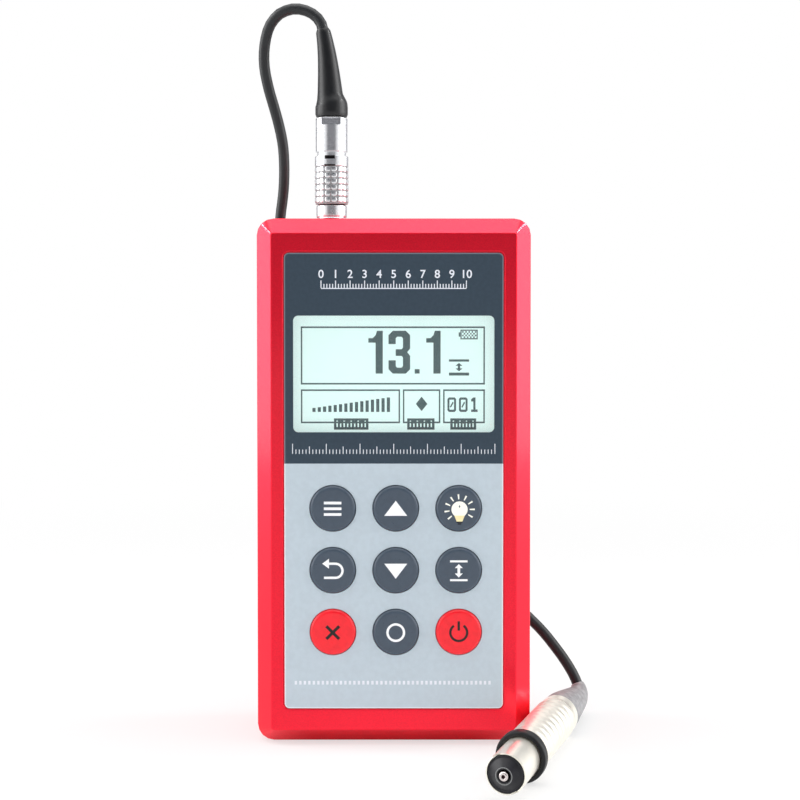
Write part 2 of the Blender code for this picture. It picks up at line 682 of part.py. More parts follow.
def make_rear_shell():
    parting = PARTING_Y - FRONT_Y + SEAT_GAP / 2
    mid = (0, HOUSING_H / 2)
    outer = rounded_slab(HOUSING_W, HOUSING_H, parting, HOUSING_D, OUTLINE_R, centre=mid)
    chamfer_at(outer, HOUSING_D, REAR_CHAMFER)
    shell = piece("rear_shell", outer, "red_metal")

    inner_chamfer = REAR_CHAMFER - REAR_WALL + SIDE_WALL * (math.sqrt(2) - 1)
    inner_r = max(OUTLINE_R - SIDE_WALL, inner_chamfer + FACE_CORNER_R)
    hollow = rounded_slab(
        HOUSING_W - 2 * SIDE_WALL,
        HOUSING_H - 2 * SIDE_WALL,
        parting - CUT_PAST,
        REAR_INNER,
        inner_r,
        centre=mid,
    )
    chamfer_at(hollow, REAR_INNER, inner_chamfer)
    helper(shell, "hollow", hollow, "DIFFERENCE")

    bosses = bmesh.new()
    root = HOUSING_D - REAR_WALL / 2
    for x, z in case_screw_places():
        head_r = CASE_HEAD_D / 2 + RUN_GAP + CASE_BOSS_WALL
        add_rod_back(bosses, head_r, x, z, parting, root, BOSS_SIDES)
    for x, z in cover_screw_places():
        add_rod_back(bosses, COVER_BOSS_D / 2, x, z, REAR_INNER - COVER_BOSS_L, REAR_INNER + SEAT_GAP)
    helper(shell, "bosses", bosses, "UNION")

    floor = HOUSING_D - COVER_T - SEAT_GAP
    rebate = rounded_slab(
        COVER_W + 2 * SEAT_GAP,
        COVER_H + 2 * SEAT_GAP,
        floor,
        HOUSING_D + CUT_PAST,
        COVER_CORNER_R + SEAT_GAP,
        centre=(0, TRAY_MID_Z),
    )
    helper(shell, "rebate", rebate, "DIFFERENCE")

    holes = rounded_slab(
        TRAY_INNER_W,
        TRAY_INNER_L,
        REAR_INNER - CUT_PAST / 2,
        floor + SEAT_GAP / 2,
        COVER_CORNER_R / 2,
        centre=(0, TRAY_MID_Z),
    )
    for x, z in cover_screw_places():
        deep = REAR_INNER - COVER_BOSS_L - CUT_PAST
        add_rod_back(holes, COVER_SCREW_D / 2 + RUN_GAP, x, z, deep, floor + SEAT_GAP / 2)
    helper(shell, "holes", holes, "DIFFERENCE")

    screw_holes = bmesh.new()
    seat = HOUSING_D - CASE_HEAD_SUNK - CASE_HEAD_H - SEAT_GAP
    for x, z in case_screw_places():
        add_rod_back(screw_holes, CASE_SCREW_D / 2 + RUN_GAP, x, z, parting - CUT_PAST, HOUSING_D)
    helper(shell, "screw_holes", screw_holes, "DIFFERENCE")
    head_holes = bmesh.new()
    for x, z in case_screw_places():
        head_r = CASE_HEAD_D / 2 + RUN_GAP
        add_rod_back(head_holes, head_r, x, z, seat, HOUSING_D + CUT_PAST, BOSS_SIDES)
    helper(shell, "head_holes", head_holes, "DIFFERENCE")


def make_case_screws():
    head = CASE_HEAD_D / 2
    edge = CASE_HEAD_SUNK
    shank = CASE_SCREW_D / 2
    tip = CASE_HEAD_H + 2 * SEAT_GAP - CASE_SCREW_L
    profile = [
        (0, CASE_HEAD_H),
        (head - edge, CASE_HEAD_H),
        (head, CASE_HEAD_H - edge),
        (head, 0),
        (shank, 0),
        (shank, tip + edge),
        (0, tip),
    ]
    seat_y = FRONT_Y + HOUSING_D - CASE_HEAD_SUNK - CASE_HEAD_H
    for number, (x, z) in enumerate(case_screw_places(), 1):
        screw = piece(
            f"case_screw_{number}",
            turned(profile, SMALL_SIDES),
            "screw_steel",
            (x, seat_y, z),
            (-math.pi / 2, 0, 0),
        )
        drive = bmesh.new()
        low = CASE_HEAD_H - CASE_SOCKET_DEPTH
        add_rod(drive, CASE_SOCKET_D / 2, (0, 0, low), (0, 0, CASE_HEAD_H + CUT_PAST), HEX)
        helper(screw, "drive", drive, "DIFFERENCE")


def make_battery_cover():
    cover = rounded_slab(
        COVER_W,
        COVER_H,
        HOUSING_D - COVER_T,
        HOUSING_D,
        COVER_CORNER_R,
        centre=(0, TRAY_MID_Z),
    )
    cover = piece("battery_cover", cover, "red_metal")
    holes = bmesh.new()
    for x, z in cover_screw_places():
        neck = COVER_SCREW_D / 2 + RUN_GAP
        mouth = COVER_HEAD_D / 2 + RUN_GAP
        profile = [
            (0, -CUT_PAST),
            (mouth, -CUT_PAST),
            (mouth, 0),
            (neck, COVER_HEAD_H),
            (neck, COVER_T + CUT_PAST),
            (0, COVER_T + CUT_PAST),
        ]
        hole = turned(profile, SMALL_SIDES)
        bmesh.ops.rotate(hole, verts=hole.verts, matrix=Matrix.Rotation(math.pi / 2, 3, "X"))
        bmesh.ops.translate(hole, verts=hole.verts, vec=(x, FRONT_Y + HOUSING_D, z))
        holes = merged(holes, hole)
    bmesh.ops.recalc_face_normals(holes, faces=holes.faces)
    helper(cover, "screw_holes", holes, "DIFFERENCE")

    profile = [
        (0, 0),
        (COVER_HEAD_D / 2, 0),
        (COVER_SCREW_D / 2, -COVER_HEAD_H),
        (COVER_SCREW_D / 2, -COVER_SCREW_L),
        (0, -COVER_SCREW_L),
    ]
    for number, (x, z) in enumerate(cover_screw_places(), 1):
        screw = piece(
            f"cover_screw_{number}",
            turned(profile, SMALL_SIDES),
            "screw_steel",
            (x, FRONT_Y + HOUSING_D, z),
            (-math.pi / 2, 0, 0),
        )
        drive = bmesh.new()
        add_rod(drive, COVER_DRIVE_D / 2, (0, 0, -COVER_DRIVE_DEPTH), (0, 0, CUT_PAST), HEX)
        helper(screw, "drive", drive, "DIFFERENCE")


def make_front_panel():
    film = rounded_slab(
        PANEL_W,
        PANEL_H,
        PANEL_BELOW_FACE,
        PANEL_BACK,
        PANEL_CORNER_R,
        centre=(0, PANEL_MID_Z),
    )
    panel = piece("front_panel", film, "panel_film")
    holes = rounded_slab(
        WINDOW_W,
        WINDOW_H,
        -CUT_PAST,
        PANEL_BACK + CUT_PAST,
        WINDOW_CORNER_R,
        centre=(0, WINDOW_MID_Z),
    )
    for name, x, z in key_places():
        add_rod_back(holes, KEY_D / 2 + RUN_GAP, x, z, -CUT_PAST, PANEL_BACK + CUT_PAST, KEY_SIDES)
    helper(panel, "holes", holes, "DIFFERENCE")


def make_display():
    mid = (0, WINDOW_MID_Z)
    pane = rounded_slab(
        WINDOW_W + 2 * WINDOW_LAP,
        WINDOW_H + 2 * WINDOW_LAP,
        RECESS_DEPTH,
        FRONT_WALL,
        WINDOW_CORNER_R + WINDOW_LAP - SEAT_GAP,
        centre=mid,
    )
    piece("display_window", pane, "clear_pane")

    frame = piece(
        "lcd_frame",
        rounded_slab(LCD_FRAME_W, LCD_FRAME_H, LCD_FRAME_FRONT, LCD_FRAME_BACK, 0, centre=mid),
        "black_plastic",
    )
    inner_w = LCD_FRAME_W - 2 * LCD_LIP_T
    inner_h = LCD_FRAME_H - 2 * LCD_LIP_T
    tray = rounded_slab(
        inner_w,
        inner_h,
        LCD_FRAME_FRONT + LCD_LIP_T,
        LCD_FRAME_BACK + CUT_PAST,
        0,
        centre=mid,
    )
    helper(frame, "tray", tray, "DIFFERENCE")
    opening = rounded_slab(
        LCD_OPENING_W,
        LCD_OPENING_H,
        LCD_FRAME_FRONT - CUT_PAST,
        LCD_GLASS_FRONT,
        WINDOW_CORNER_R,
        centre=mid,
    )
    helper(frame, "opening", opening, "DIFFERENCE")

    glass_w = inner_w - 2 * SEAT_GAP
    glass_h = inner_h - 2 * SEAT_GAP
    glass_back = LCD_GLASS_FRONT + LCD_GLASS_T
    glass = rounded_slab(glass_w, glass_h, LCD_GLASS_FRONT, glass_back, 0, centre=mid)
    piece("lcd_glass", glass, "lcd_mint")
    back = BACKLIGHT_FRONT + BACKLIGHT_T
    light = rounded_slab(glass_w, glass_h, BACKLIGHT_FRONT, back, 0, centre=mid)
    piece("lcd_backlight", light, "white_plastic")


def make_keys():
    top = KEY_D / 2 - KEY_EDGE_R
    cap = KEY_D / 2
    flange = cap + KEY_FLANGE
    stem = KEY_STEM_D / 2
    back = -KEY_FLANGE_FRONT - KEY_FLANGE_T
    profile = [
        (0, KEY_PROUD + KEY_CROWN),
        (top, KEY_PROUD),
        (cap, KEY_PROUD - KEY_EDGE_R),
        (cap, -KEY_FLANGE_FRONT),
        (flange, -KEY_FLANGE_FRONT),
        (flange, back),
        (stem, back),
        (stem, -KEY_STEM_END),
        (0, -KEY_STEM_END),
    ]
    dome_r = DOME_D / 2
    shoulder_r = dome_r * DOME_SHOULDER
    shoulder = -DOME_H * DOME_SHOULDER_DROP
    dome = [
        (0, 0),
        (shoulder_r, shoulder),
        (dome_r, -DOME_H),
        (dome_r - DOME_T, -DOME_H),
        (shoulder_r, shoulder - DOME_T),
        (0, -DOME_T),
    ]
    towards_viewer = (math.pi / 2, 0, 0)
    red = ("key_delete", "key_power")
    for name, x, z in key_places():
        colour = "red_key" if name in red else "slate_key"
        piece(name, turned(profile, KEY_SIDES), colour, (x, FRONT_Y, z), towards_viewer)
        dome_name = name.replace("key", "dome")
        place_on = (x, FRONT_Y + DOME_TOP, z)
        piece(dome_name, turned(dome, PIN_SIDES), "spring_steel", place_on, towards_viewer)


def make_boards():
    keypad = rounded_slab(
        KEYPAD_BOARD_W,
        KEYPAD_BOARD_H,
        KEYPAD_BOARD_FRONT,
        KEYPAD_BOARD_FRONT + KEYPAD_BOARD_T,
        KEYPAD_EDGE,
        steps=2,
        centre=(KEYPAD_SHIFT, KEY_ROWS_Z[1]),
    )
    piece("keypad_board", keypad, "board_green")
    main = rounded_slab(
        BOARD_W,
        BOARD_Z1 - BOARD_Z0,
        BOARD_FRONT,
        BOARD_BACK,
        KEYPAD_EDGE,
        steps=2,
        centre=(0, (BOARD_Z0 + BOARD_Z1) / 2),
    )
    piece("main_board", main, "board_green")

    rim = BUZZER_D / 2
    mouth = BUZZER_MOUTH_D / 2
    profile = [
        (0, 0),
        (rim, 0),
        (rim, -BUZZER_H),
        (mouth, -BUZZER_H),
        (mouth, -BUZZER_H / 2),
        (0, -BUZZER_H / 2),
    ]
    behind = FRONT_Y + BOARD_BACK + SEAT_GAP
    where = (BOARD_W / 2 - BUZZER_INSET, behind, BOARD_Z1 - BUZZER_BELOW_TOP)
    piece("buzzer", turned(profile, BOSS_SIDES), "black_plastic", where, (math.pi / 2, 0, 0))


def conical_spring(name, base_r, tip_r, length, turns, wire_r, finish_name, parent=None):
    """A coil of round wire along local Z from the base, its two ends kept inside its length."""
    count = round(turns * COIL_STEPS)
    curve = bpy.data.curves.new(name, "CURVE")
    curve.dimensions = "3D"
    curve.bevel_depth = wire_r
    curve.bevel_resolution = SPRING_RESOLUTION
    curve.use_fill_caps = True
    spline = curve.splines.new("POLY")
    spline.points.add(count)
    for step, point in enumerate(spline.points):
        share = step / count
        angle = math.tau * turns * share
        radius = base_r + (tip_r - base_r) * share
        height = wire_r + (length - 2 * wire_r) * share
        point.co = (radius * math.cos(angle), radius * math.sin(angle), height, 1)
    return place(name, curve, finish_name, (0, 0, 0), (0, 0, 0), parent)


def make_battery_bay():
    front = TRAY_FRONT
    back = REAR_INNER - SEAT_GAP
    outer_w = TRAY_INNER_W + 2 * TRAY_WALL
    mid = (0, TRAY_MID_Z)
    tray = piece(
        "battery_tray",
        rounded_slab(outer_w, TRAY_H, front, back, TRAY_WALL, steps=2, centre=mid),
        "black_plastic",
    )
    room = rounded_slab(
        TRAY_INNER_W,
        TRAY_INNER_L,
        front + TRAY_WALL,
        back + CUT_PAST,
        0,
        centre=mid,
    )
    helper(tray, "room", room, "DIFFERENCE")
    rib = bmesh.new()
    rib_end = TRAY_INNER_L / 2 - SPRING_L
    add_box(
        rib,
        (-TRAY_RIB_W / 2, FRONT_Y + front + TRAY_WALL / 2, TRAY_MID_Z - rib_end),
        (TRAY_RIB_W / 2, FRONT_Y + front + TRAY_WALL + TRAY_RIB_H, TRAY_MID_Z + rib_end),
    )
    helper(tray, "rib", rib, "UNION")

    cell_x = (BATTERY_D + SEAT_GAP) / 2
    cell_y = FRONT_Y + BATTERY_MID
    inner_z0 = TRAY_Z0 + TRAY_WALL
    inner_z1 = inner_z0 + TRAY_INNER_L
    body = BATTERY_L - BATTERY_NUB_L
    profile = [
        (0, 0),
        (BATTERY_D / 2 - BATTERY_EDGE, 0),
        (BATTERY_D / 2, BATTERY_EDGE),
        (BATTERY_D / 2, body - BATTERY_EDGE),
        (BATTERY_D / 2 - BATTERY_EDGE, body),
        (BATTERY_NUB_D / 2, body),
        (BATTERY_NUB_D / 2, BATTERY_L),
        (0, BATTERY_L),
    ]
    bridge_top = inner_z0 + SEAT_GAP + CONTACT_T
    plate_low = inner_z1 - SEAT_GAP - CONTACT_T
    up_z = plate_low - SEAT_GAP - BATTERY_L
    down_z = bridge_top + SEAT_GAP + BATTERY_L
    for name, place_on, turn in (
        ("battery_1", (-cell_x, cell_y, up_z), 0),
        ("battery_2", (cell_x, cell_y, down_z), math.pi),
    ):
        piece(name, turned(profile, BOSS_SIDES), "battery_wrap", place_on, (turn, 0, 0))

    half = CONTACT_W / 2
    bridge = bmesh.new()
    add_box(
        bridge,
        (-cell_x - half, cell_y - half, inner_z0 + SEAT_GAP),
        (cell_x + half, cell_y + half, bridge_top),
    )
    piece("contact_bridge", bridge, "spring_steel")
    plate = bmesh.new()
    add_box(
        plate,
        (-cell_x - half, cell_y - half, plate_low),
        (-cell_x + half, cell_y + half, plate_low + CONTACT_T),
    )
    piece("contact_plate", plate, "spring_steel")

    low_spring = conical_spring(
        "contact_spring_1",
        SPRING_BASE_R,
        SPRING_TIP_R,
        up_z - bridge_top - 2 * SEAT_GAP,
        SPRING_TURNS,
        SPRING_WIRE_R,
        "spring_steel",
    )
    low_spring.location = (-cell_x, cell_y, bridge_top + SEAT_GAP)
    top_spring = conical_spring(
        "contact_spring_2",
        SPRING_BASE_R,
        SPRING_TIP_R,
        inner_z1 - down_z - 2 * SEAT_GAP,
        SPRING_TURNS,
        SPRING_WIRE_R,
        "spring_steel",
    )
    top_spring.location = (cell_x, cell_y, inner_z1 - SEAT_GAP)
    top_spring.rotation_euler = (math.pi, 0, 0)


def make_socket():
    at = (SOCKET_X, 0, 0)
    body_r = SOCKET_BODY_D / 2
    bore_r = SOCKET_BORE_D / 2
    flange_r = SOCKET_FLANGE_D / 2
    base = SOCKET_BORE_Z0 - SOCKET_BASE_T
    body = [
        (0, base),
        (body_r, base),
        (body_r, HOUSING_H - SOCKET_FLANGE_T),
        (flange_r, HOUSING_H - SOCKET_FLANGE_T),
        (flange_r, HOUSING_H),
        (bore_r, HOUSING_H),
        (bore_r, SOCKET_BORE_Z0),
        (0, SOCKET_BORE_Z0),
    ]
    piece("probe_socket", turned(body, PLUG_SIDES), "chrome", at)

    nut = bmesh.new()
    nut_r = SOCKET_NUT_AF / 2 / math.cos(math.pi / 6)
    nut_z0 = SOCKET_NUT_Z1 - SOCKET_NUT_T
    add_rod(nut, nut_r, (0, 0, nut_z0), (0, 0, SOCKET_NUT_Z1), HEX)
    nut = piece("socket_nut", nut, "brass", at)
    bore = bmesh.new()
    low = (0, 0, nut_z0 - CUT_PAST)
    add_rod(bore, SOCKET_HOLE_D / 2, low, (0, 0, SOCKET_NUT_Z1 + CUT_PAST), PLUG_SIDES)
    helper(nut, "bore", bore, "DIFFERENCE")

    base_r = SOCKET_BORE_D / 2 - SEAT_GAP
    tower_r = NOZZLE_D / 2 - NOZZLE_WALL - RUN_GAP
    insert = [
        (0, INSERT_BASE_Z0),
        (base_r, INSERT_BASE_Z0),
        (base_r, INSERT_BASE_Z1),
        (tower_r, INSERT_BASE_Z1),
        (tower_r, INSERT_TOWER_Z1),
        (0, INSERT_TOWER_Z1),
    ]
    insert = piece("socket_insert", turned(insert, PLUG_SIDES), "black_plastic", at)
    holes = bmesh.new()
    for x, y in pin_places():
        low = (x, y, INSERT_TOWER_Z1 - PIN_L)
        add_rod(holes, PIN_D / 2 + RUN_GAP, low, (x, y, INSERT_TOWER_Z1 + CUT_PAST), PIN_SIDES)
    helper(insert, "holes", holes, "DIFFERENCE")


def pin_places():
    for number in range(PIN_COUNT):
        angle = math.tau * (number + 0.5) / PIN_COUNT
        yield PIN_CIRCLE_R * math.cos(angle), PIN_CIRCLE_R * math.sin(angle)


def make_plug():
    """The plug slides out of the socket along Z, and its sleeve slides on it."""
    at = (SOCKET_X, 0, 0)
    nozzle_r = NOZZLE_D / 2
    bore_r = nozzle_r - NOZZLE_WALL
    ring_r = PLUG_RING_D / 2
    core_r = PLUG_CORE_D / 2
    ring_top = PLUG_RING_Z + PLUG_RING_L
    core_top = NUT_NOSE_Z0 - SEAT_GAP
    body = [
        (nozzle_r, NOZZLE_Z0),
        (nozzle_r, PLUG_RING_Z),
        (ring_r - KNURL_H, PLUG_RING_Z),
        (ring_r, PLUG_RING_Z + KNURL_H),
        (ring_r, ring_top),
        (core_r, ring_top),
        (core_r, core_top),
        (PLUG_THREAD_D / 2, core_top),
        (PLUG_THREAD_D / 2, core_top + PLUG_THREAD_L),
        (bore_r, core_top + PLUG_THREAD_L),
        (bore_r, NOZZLE_Z0),
    ]
    piece("plug_body", turned(body, PLUG_SIDES), "chrome", at)

    insert = bmesh.new()
    low = (0, 0, PLUG_INSERT_Z0)
    add_rod(insert, bore_r - SEAT_GAP, low, (0, 0, PLUG_INSERT_Z0 + PLUG_INSERT_L), PLUG_SIDES)
    insert = piece("plug_insert", insert, "black_plastic", at)
    pins = bmesh.new()
    for x, y in pin_places():
        tip = PLUG_INSERT_Z0 + RUN_GAP * 2 - PIN_L
        add_rod(pins, PIN_D / 2, (x, y, tip), (x, y, PLUG_INSERT_Z0 + PLUG_INSERT_L / 4), HEX)
    helper(insert, "pins", pins, "UNION")

    make_sleeve(at)
    make_plug_nut(at)
    make_bend_relief()


def make_sleeve(at):
    """A tube whose lower part is knurled: each cell of its wall is inset and raised."""
    inner_r = PLUG_CORE_D / 2 + RUN_GAP
    skirt_r = nut_nose_r() + RUN_GAP
    wall_r = SLEEVE_D / 2
    band_r = SLEEVE_BAND_D / 2
    knurl_z0 = SLEEVE_Z0 + SLEEVE_LEAD
    top = SLEEVE_Z0 + SLEEVE_L
    skirt = top - SLEEVE_SKIRT - SLEEVE_TRAVEL - RUN_GAP
    rows = [(wall_r, knurl_z0 + row * KNURL_PITCH) for row in range(KNURL_ROWS + 1)]
    band_z0 = knurl_z0 + KNURL_ROWS * KNURL_PITCH
    profile = [
        (wall_r, SLEEVE_Z0),
        *rows,
        (band_r, band_z0 + KNURL_GROOVE / 2),
        (band_r, top),
        (skirt_r, top),
        (skirt_r, skirt),
        (inner_r, skirt),
        (inner_r, SLEEVE_Z0),
    ]
    bm = turned(profile, KNURL_COLUMNS)
    bmesh.ops.recalc_face_normals(bm, faces=bm.faces)
    facet_r = wall_r * math.cos(math.pi / KNURL_COLUMNS)
    cells = []
    for face in bm.faces:
        centre = face.calc_center_median()
        outside = math.hypot(centre.x, centre.y) > facet_r - WELD
        if outside and knurl_z0 < centre.z < band_z0:
            cells.append(face)
    bmesh.ops.inset_individual(bm, faces=cells, thickness=KNURL_GROOVE / 2, depth=KNURL_H)
    piece("plug_sleeve", bm, "chrome", at)


def nut_nose_r():
    return SLEEVE_BAND_D / 2 - 2 * RUN_GAP - KNURL_H / 2


def make_plug_nut(at):
    nut_r = NUT_D / 2
    nose_r = nut_nose_r()
    thread_r = PLUG_THREAD_D / 2 + RUN_GAP
    cable_r = NUT_CABLE_BORE_D / 2
    shoulder = NUT_NOSE_Z0 + PLUG_THREAD_L
    top = NUT_Z0 + NUT_L
    profile = [
        (nose_r, NUT_NOSE_Z0),
        (nose_r, NUT_Z0),
        (nut_r, NUT_Z0),
        (nut_r, top - KNURL_H),
        (nut_r - KNURL_H, top),
        (cable_r, top),
        (cable_r, shoulder),
        (thread_r, shoulder),
        (thread_r, NUT_NOSE_Z0),
    ]
    nut = piece("plug_nut", turned(profile, PLUG_SIDES), "chrome", at)
    flats = bmesh.new()
    for side in (-1, 1):
        near = side * NUT_FLAT_AF / 2
        far = side * (nut_r + CUT_PAST)
        z1 = top - NUT_FLAT_TOP
        low = (-nut_r, min(near, far), z1 - NUT_FLAT_L)
        add_box(flats, low, (nut_r, max(near, far), z1))
    helper(nut, "flats", flats, "DIFFERENCE")


def tapered_tube(name, stations, resolution, finish_name):
    """A round tube through (point, radius) stations, its ends closed."""
    curve = bpy.data.curves.new(name, "CURVE")
    curve.dimensions = "3D"
    curve.bevel_depth = 1
    curve.bevel_resolution = resolution
    curve.use_fill_caps = True
    spline = curve.splines.new("POLY")
    spline.points.add(len(stations) - 1)
    for point, (where, radius) in zip(spline.points, stations):
        point.co = (*where, 1)
        point.radius = radius
    return place(name, curve, finish_name, (0, 0, 0), (0, 0, 0), None)


def make_bend_relief():
    """A rubber sleeve with a collar, tapering and leaning towards the cord's loop."""
    base_r = RELIEF_BASE_D / 2
    collar = RELIEF_Z0 + RELIEF_BASE_L
    neck = collar + RELIEF_NECK_L
    stations = [
        (Vector((SOCKET_X, 0, RELIEF_Z0)), base_r),
        (Vector((SOCKET_X, 0, collar)), base_r),
    ]
    for step in range(RELIEF_STEPS + 1):
        share = step / RELIEF_STEPS
        radius = (RELIEF_NECK_D + (RELIEF_TIP_D - RELIEF_NECK_D) * share) / 2
        lean = RELIEF_LEAN + RELIEF_SLOPE * share + RELIEF_CURL * share**3
        stations.append((Vector((SOCKET_X - lean, 0, neck + RELIEF_TAPER_L * share)), radius))
    tapered_tube("bend_relief", stations, 4, "black_rubber")


def smooth_route(route, lead, step):
    """Points on a smooth curve through the route: both ends, a lead in from each, and every step between."""
    knots = [Vector(point) for point in route]
    before = [2 * knots[0] - knots[1]] + knots[:-1]
    after = knots[1:] + [2 * knots[-1] - knots[-2]]
    dense = []
    for index in range(len(knots) - 1):
        start, end = knots[index], knots[index + 1]
        leave = (end - before[index]) / 2
        arrive = (after[index + 1] - start) / 2
        for part in range(ROUTE_STEPS):
            t = part / ROUTE_STEPS
            dense.append(
                start * (2 * t**3 - 3 * t**2 + 1)
                + leave * (t**3 - 2 * t**2 + t)
                + end * (3 * t**2 - 2 * t**3)
                + arrive * (t**3 - t**2)
            )
    dense.append(knots[-1])
    spans = [(b - a).length for a, b in zip(dense, dense[1:])]
    between = sum(spans) - 2 * lead
    count = round(between / step)
    places = [lead + between * part / count for part in range(count + 1)]
    points, travelled = [dense[0]], 0.0
    for start, end, span in zip(dense, dense[1:], spans):
        while places and places[0] <= travelled + span:
            points.append(start.lerp(end, (places.pop(0) - travelled) / span))
        travelled += span
    return [*points, dense[-1]]


def make_cord():
    curve = bpy.data.curves.new("cord", "CURVE")
    curve.dimensions = "3D"
    curve.bevel_depth = CORD_D / 2
    curve.bevel_resolution = 2
    curve.use_fill_caps = True
    points = smooth_route(CORD_ROUTE, CORD_LEAD, CORD_STEP)
    spline = curve.splines.new("POLY")
    spline.points.add(len(points) - 1)
    for point, where in zip(spline.points, points):
        point.co = (*where, 1)
    place("cord", curve, "black_rubber", (0, 0, 0), (0, 0, 0), None)


def probe_axis():
    """An empty at the tip of the probe's pole, its Z along the probe towards the rear."""
    grip_r = RIDGE_D / 2 + PROBE_SIDE_GAP
    edge_y = FRONT_Y + FRONT_CHAMFER
    face_y = FRONT_Y - PROBE_REACH
    edge_x = HOUSING_W / 2 + grip_r / math.cos(PROBE_YAW)
    face_x = edge_x + (face_y - edge_y) * math.tan(PROBE_YAW)
    face_z = RING_D / 2 * math.cos(PROBE_TILT) + RING_REST * math.sin(PROBE_TILT)
    empty = bpy.data.objects.new("probe_axis", None)
    empty.location = (face_x, face_y, face_z)
    empty.rotation_euler = (-math.pi / 2 - PROBE_TILT, 0, -PROBE_YAW)
    bpy.context.scene.collection.objects.link(empty)
    return empty


def make_probe():
    axis = probe_axis()
    make_nose(axis)
    make_grip(axis)
    make_boot(axis)


def make_nose(axis):
    """What slides back into the grip when the probe is pressed on a surface."""
    pole_hole = POLE_D / 2 + SEAT_GAP
    face_r = FACE_D / 2
    face_front = NOSE_FRONT + SEAT_GAP / 2
    face_back = NOSE_FRONT + FACE_T
    face = [
        (face_r, face_front),
        (face_r, face_back),
        (pole_hole, face_back),
        (pole_hole, FACE_BOSS_FRONT + FACE_RECESS),
        (FACE_RECESS_D / 2, FACE_BOSS_FRONT + FACE_RECESS),
        (FACE_RECESS_D / 2, FACE_BOSS_FRONT),
        (FACE_BOSS_D / 2, FACE_BOSS_FRONT),
        (FACE_CONE_D / 2, face_front),
    ]
    piece("probe_face", turned(face), "black_plastic", parent=axis)

    pole_r = POLE_D / 2
    tip_r = POLE_TIP_D / 2
    pole = [
        (0, POLE_TIP_DEPTH),
        (tip_r, POLE_TIP_DEPTH),
        (tip_r, 0),
        (pole_r - SEAT_GAP, 0),
        (pole_r, SEAT_GAP),
        (pole_r, POLE_L),
        (0, POLE_L),
    ]
    piece("probe_pole", turned(pole, BOSS_SIDES), "chrome", parent=axis)

    nose_r = NOSE_D / 2
    inner_r = nose_r - NOSE_WALL
    stem_r = NOSE_STEM_D / 2
    stem_bore = stem_r - NOSE_STEM_WALL
    end = NOSE_L + NOSE_STEM_L
    nose = [
        (nose_r - NOSE_WALL / 2, NOSE_FRONT),
        (nose_r, NOSE_FRONT + NOSE_WALL / 2),
        (nose_r, NOSE_L),
        (stem_r, NOSE_L),
        (stem_r, end),
        (stem_bore, end),
        (stem_bore, NOSE_L - NOSE_STEM_WALL),
        (inner_r, NOSE_L - NOSE_STEM_WALL),
        (inner_r, NOSE_FRONT),
    ]
    sleeve = piece("probe_nose", turned(nose), "chrome", parent=axis)
    notch = bmesh.new()
    reach = nose_r + CUT_PAST
    add_rod(notch, NOSE_NOTCH_W / 2, (-reach, 0, 0), (reach, 0, 0), 4)
    squeeze = Matrix.Diagonal((1, 1, NOSE_NOTCH_DEPTH / (NOSE_NOTCH_W / 2), 1))
    at_front = Matrix.Translation((0, 0, NOSE_FRONT))
    bmesh.ops.transform(notch, verts=notch.verts, matrix=at_front @ squeeze)
    turn = Matrix.Rotation(NOSE_NOTCH_TURN, 3, "Z")
    bmesh.ops.rotate(notch, verts=notch.verts, matrix=turn)
    helper(sleeve, "notch", notch, "DIFFERENCE", axis)

    start = face_back + SEAT_GAP
    core_r = COIL_CORE_D / 2
    coil_r = COIL_D / 2
    coil = [
        (coil_r, start),
        (coil_r, start + COIL_FLANGE_T),
        (core_r, start + COIL_FLANGE_T),
        (core_r, start + COIL_L - COIL_FLANGE_T),
        (coil_r, start + COIL_L - COIL_FLANGE_T),
        (coil_r, start + COIL_L),
        (pole_hole, start + COIL_L),
        (pole_hole, start),
    ]
    piece("probe_coil", turned(coil, BOSS_SIDES), "copper", parent=axis)


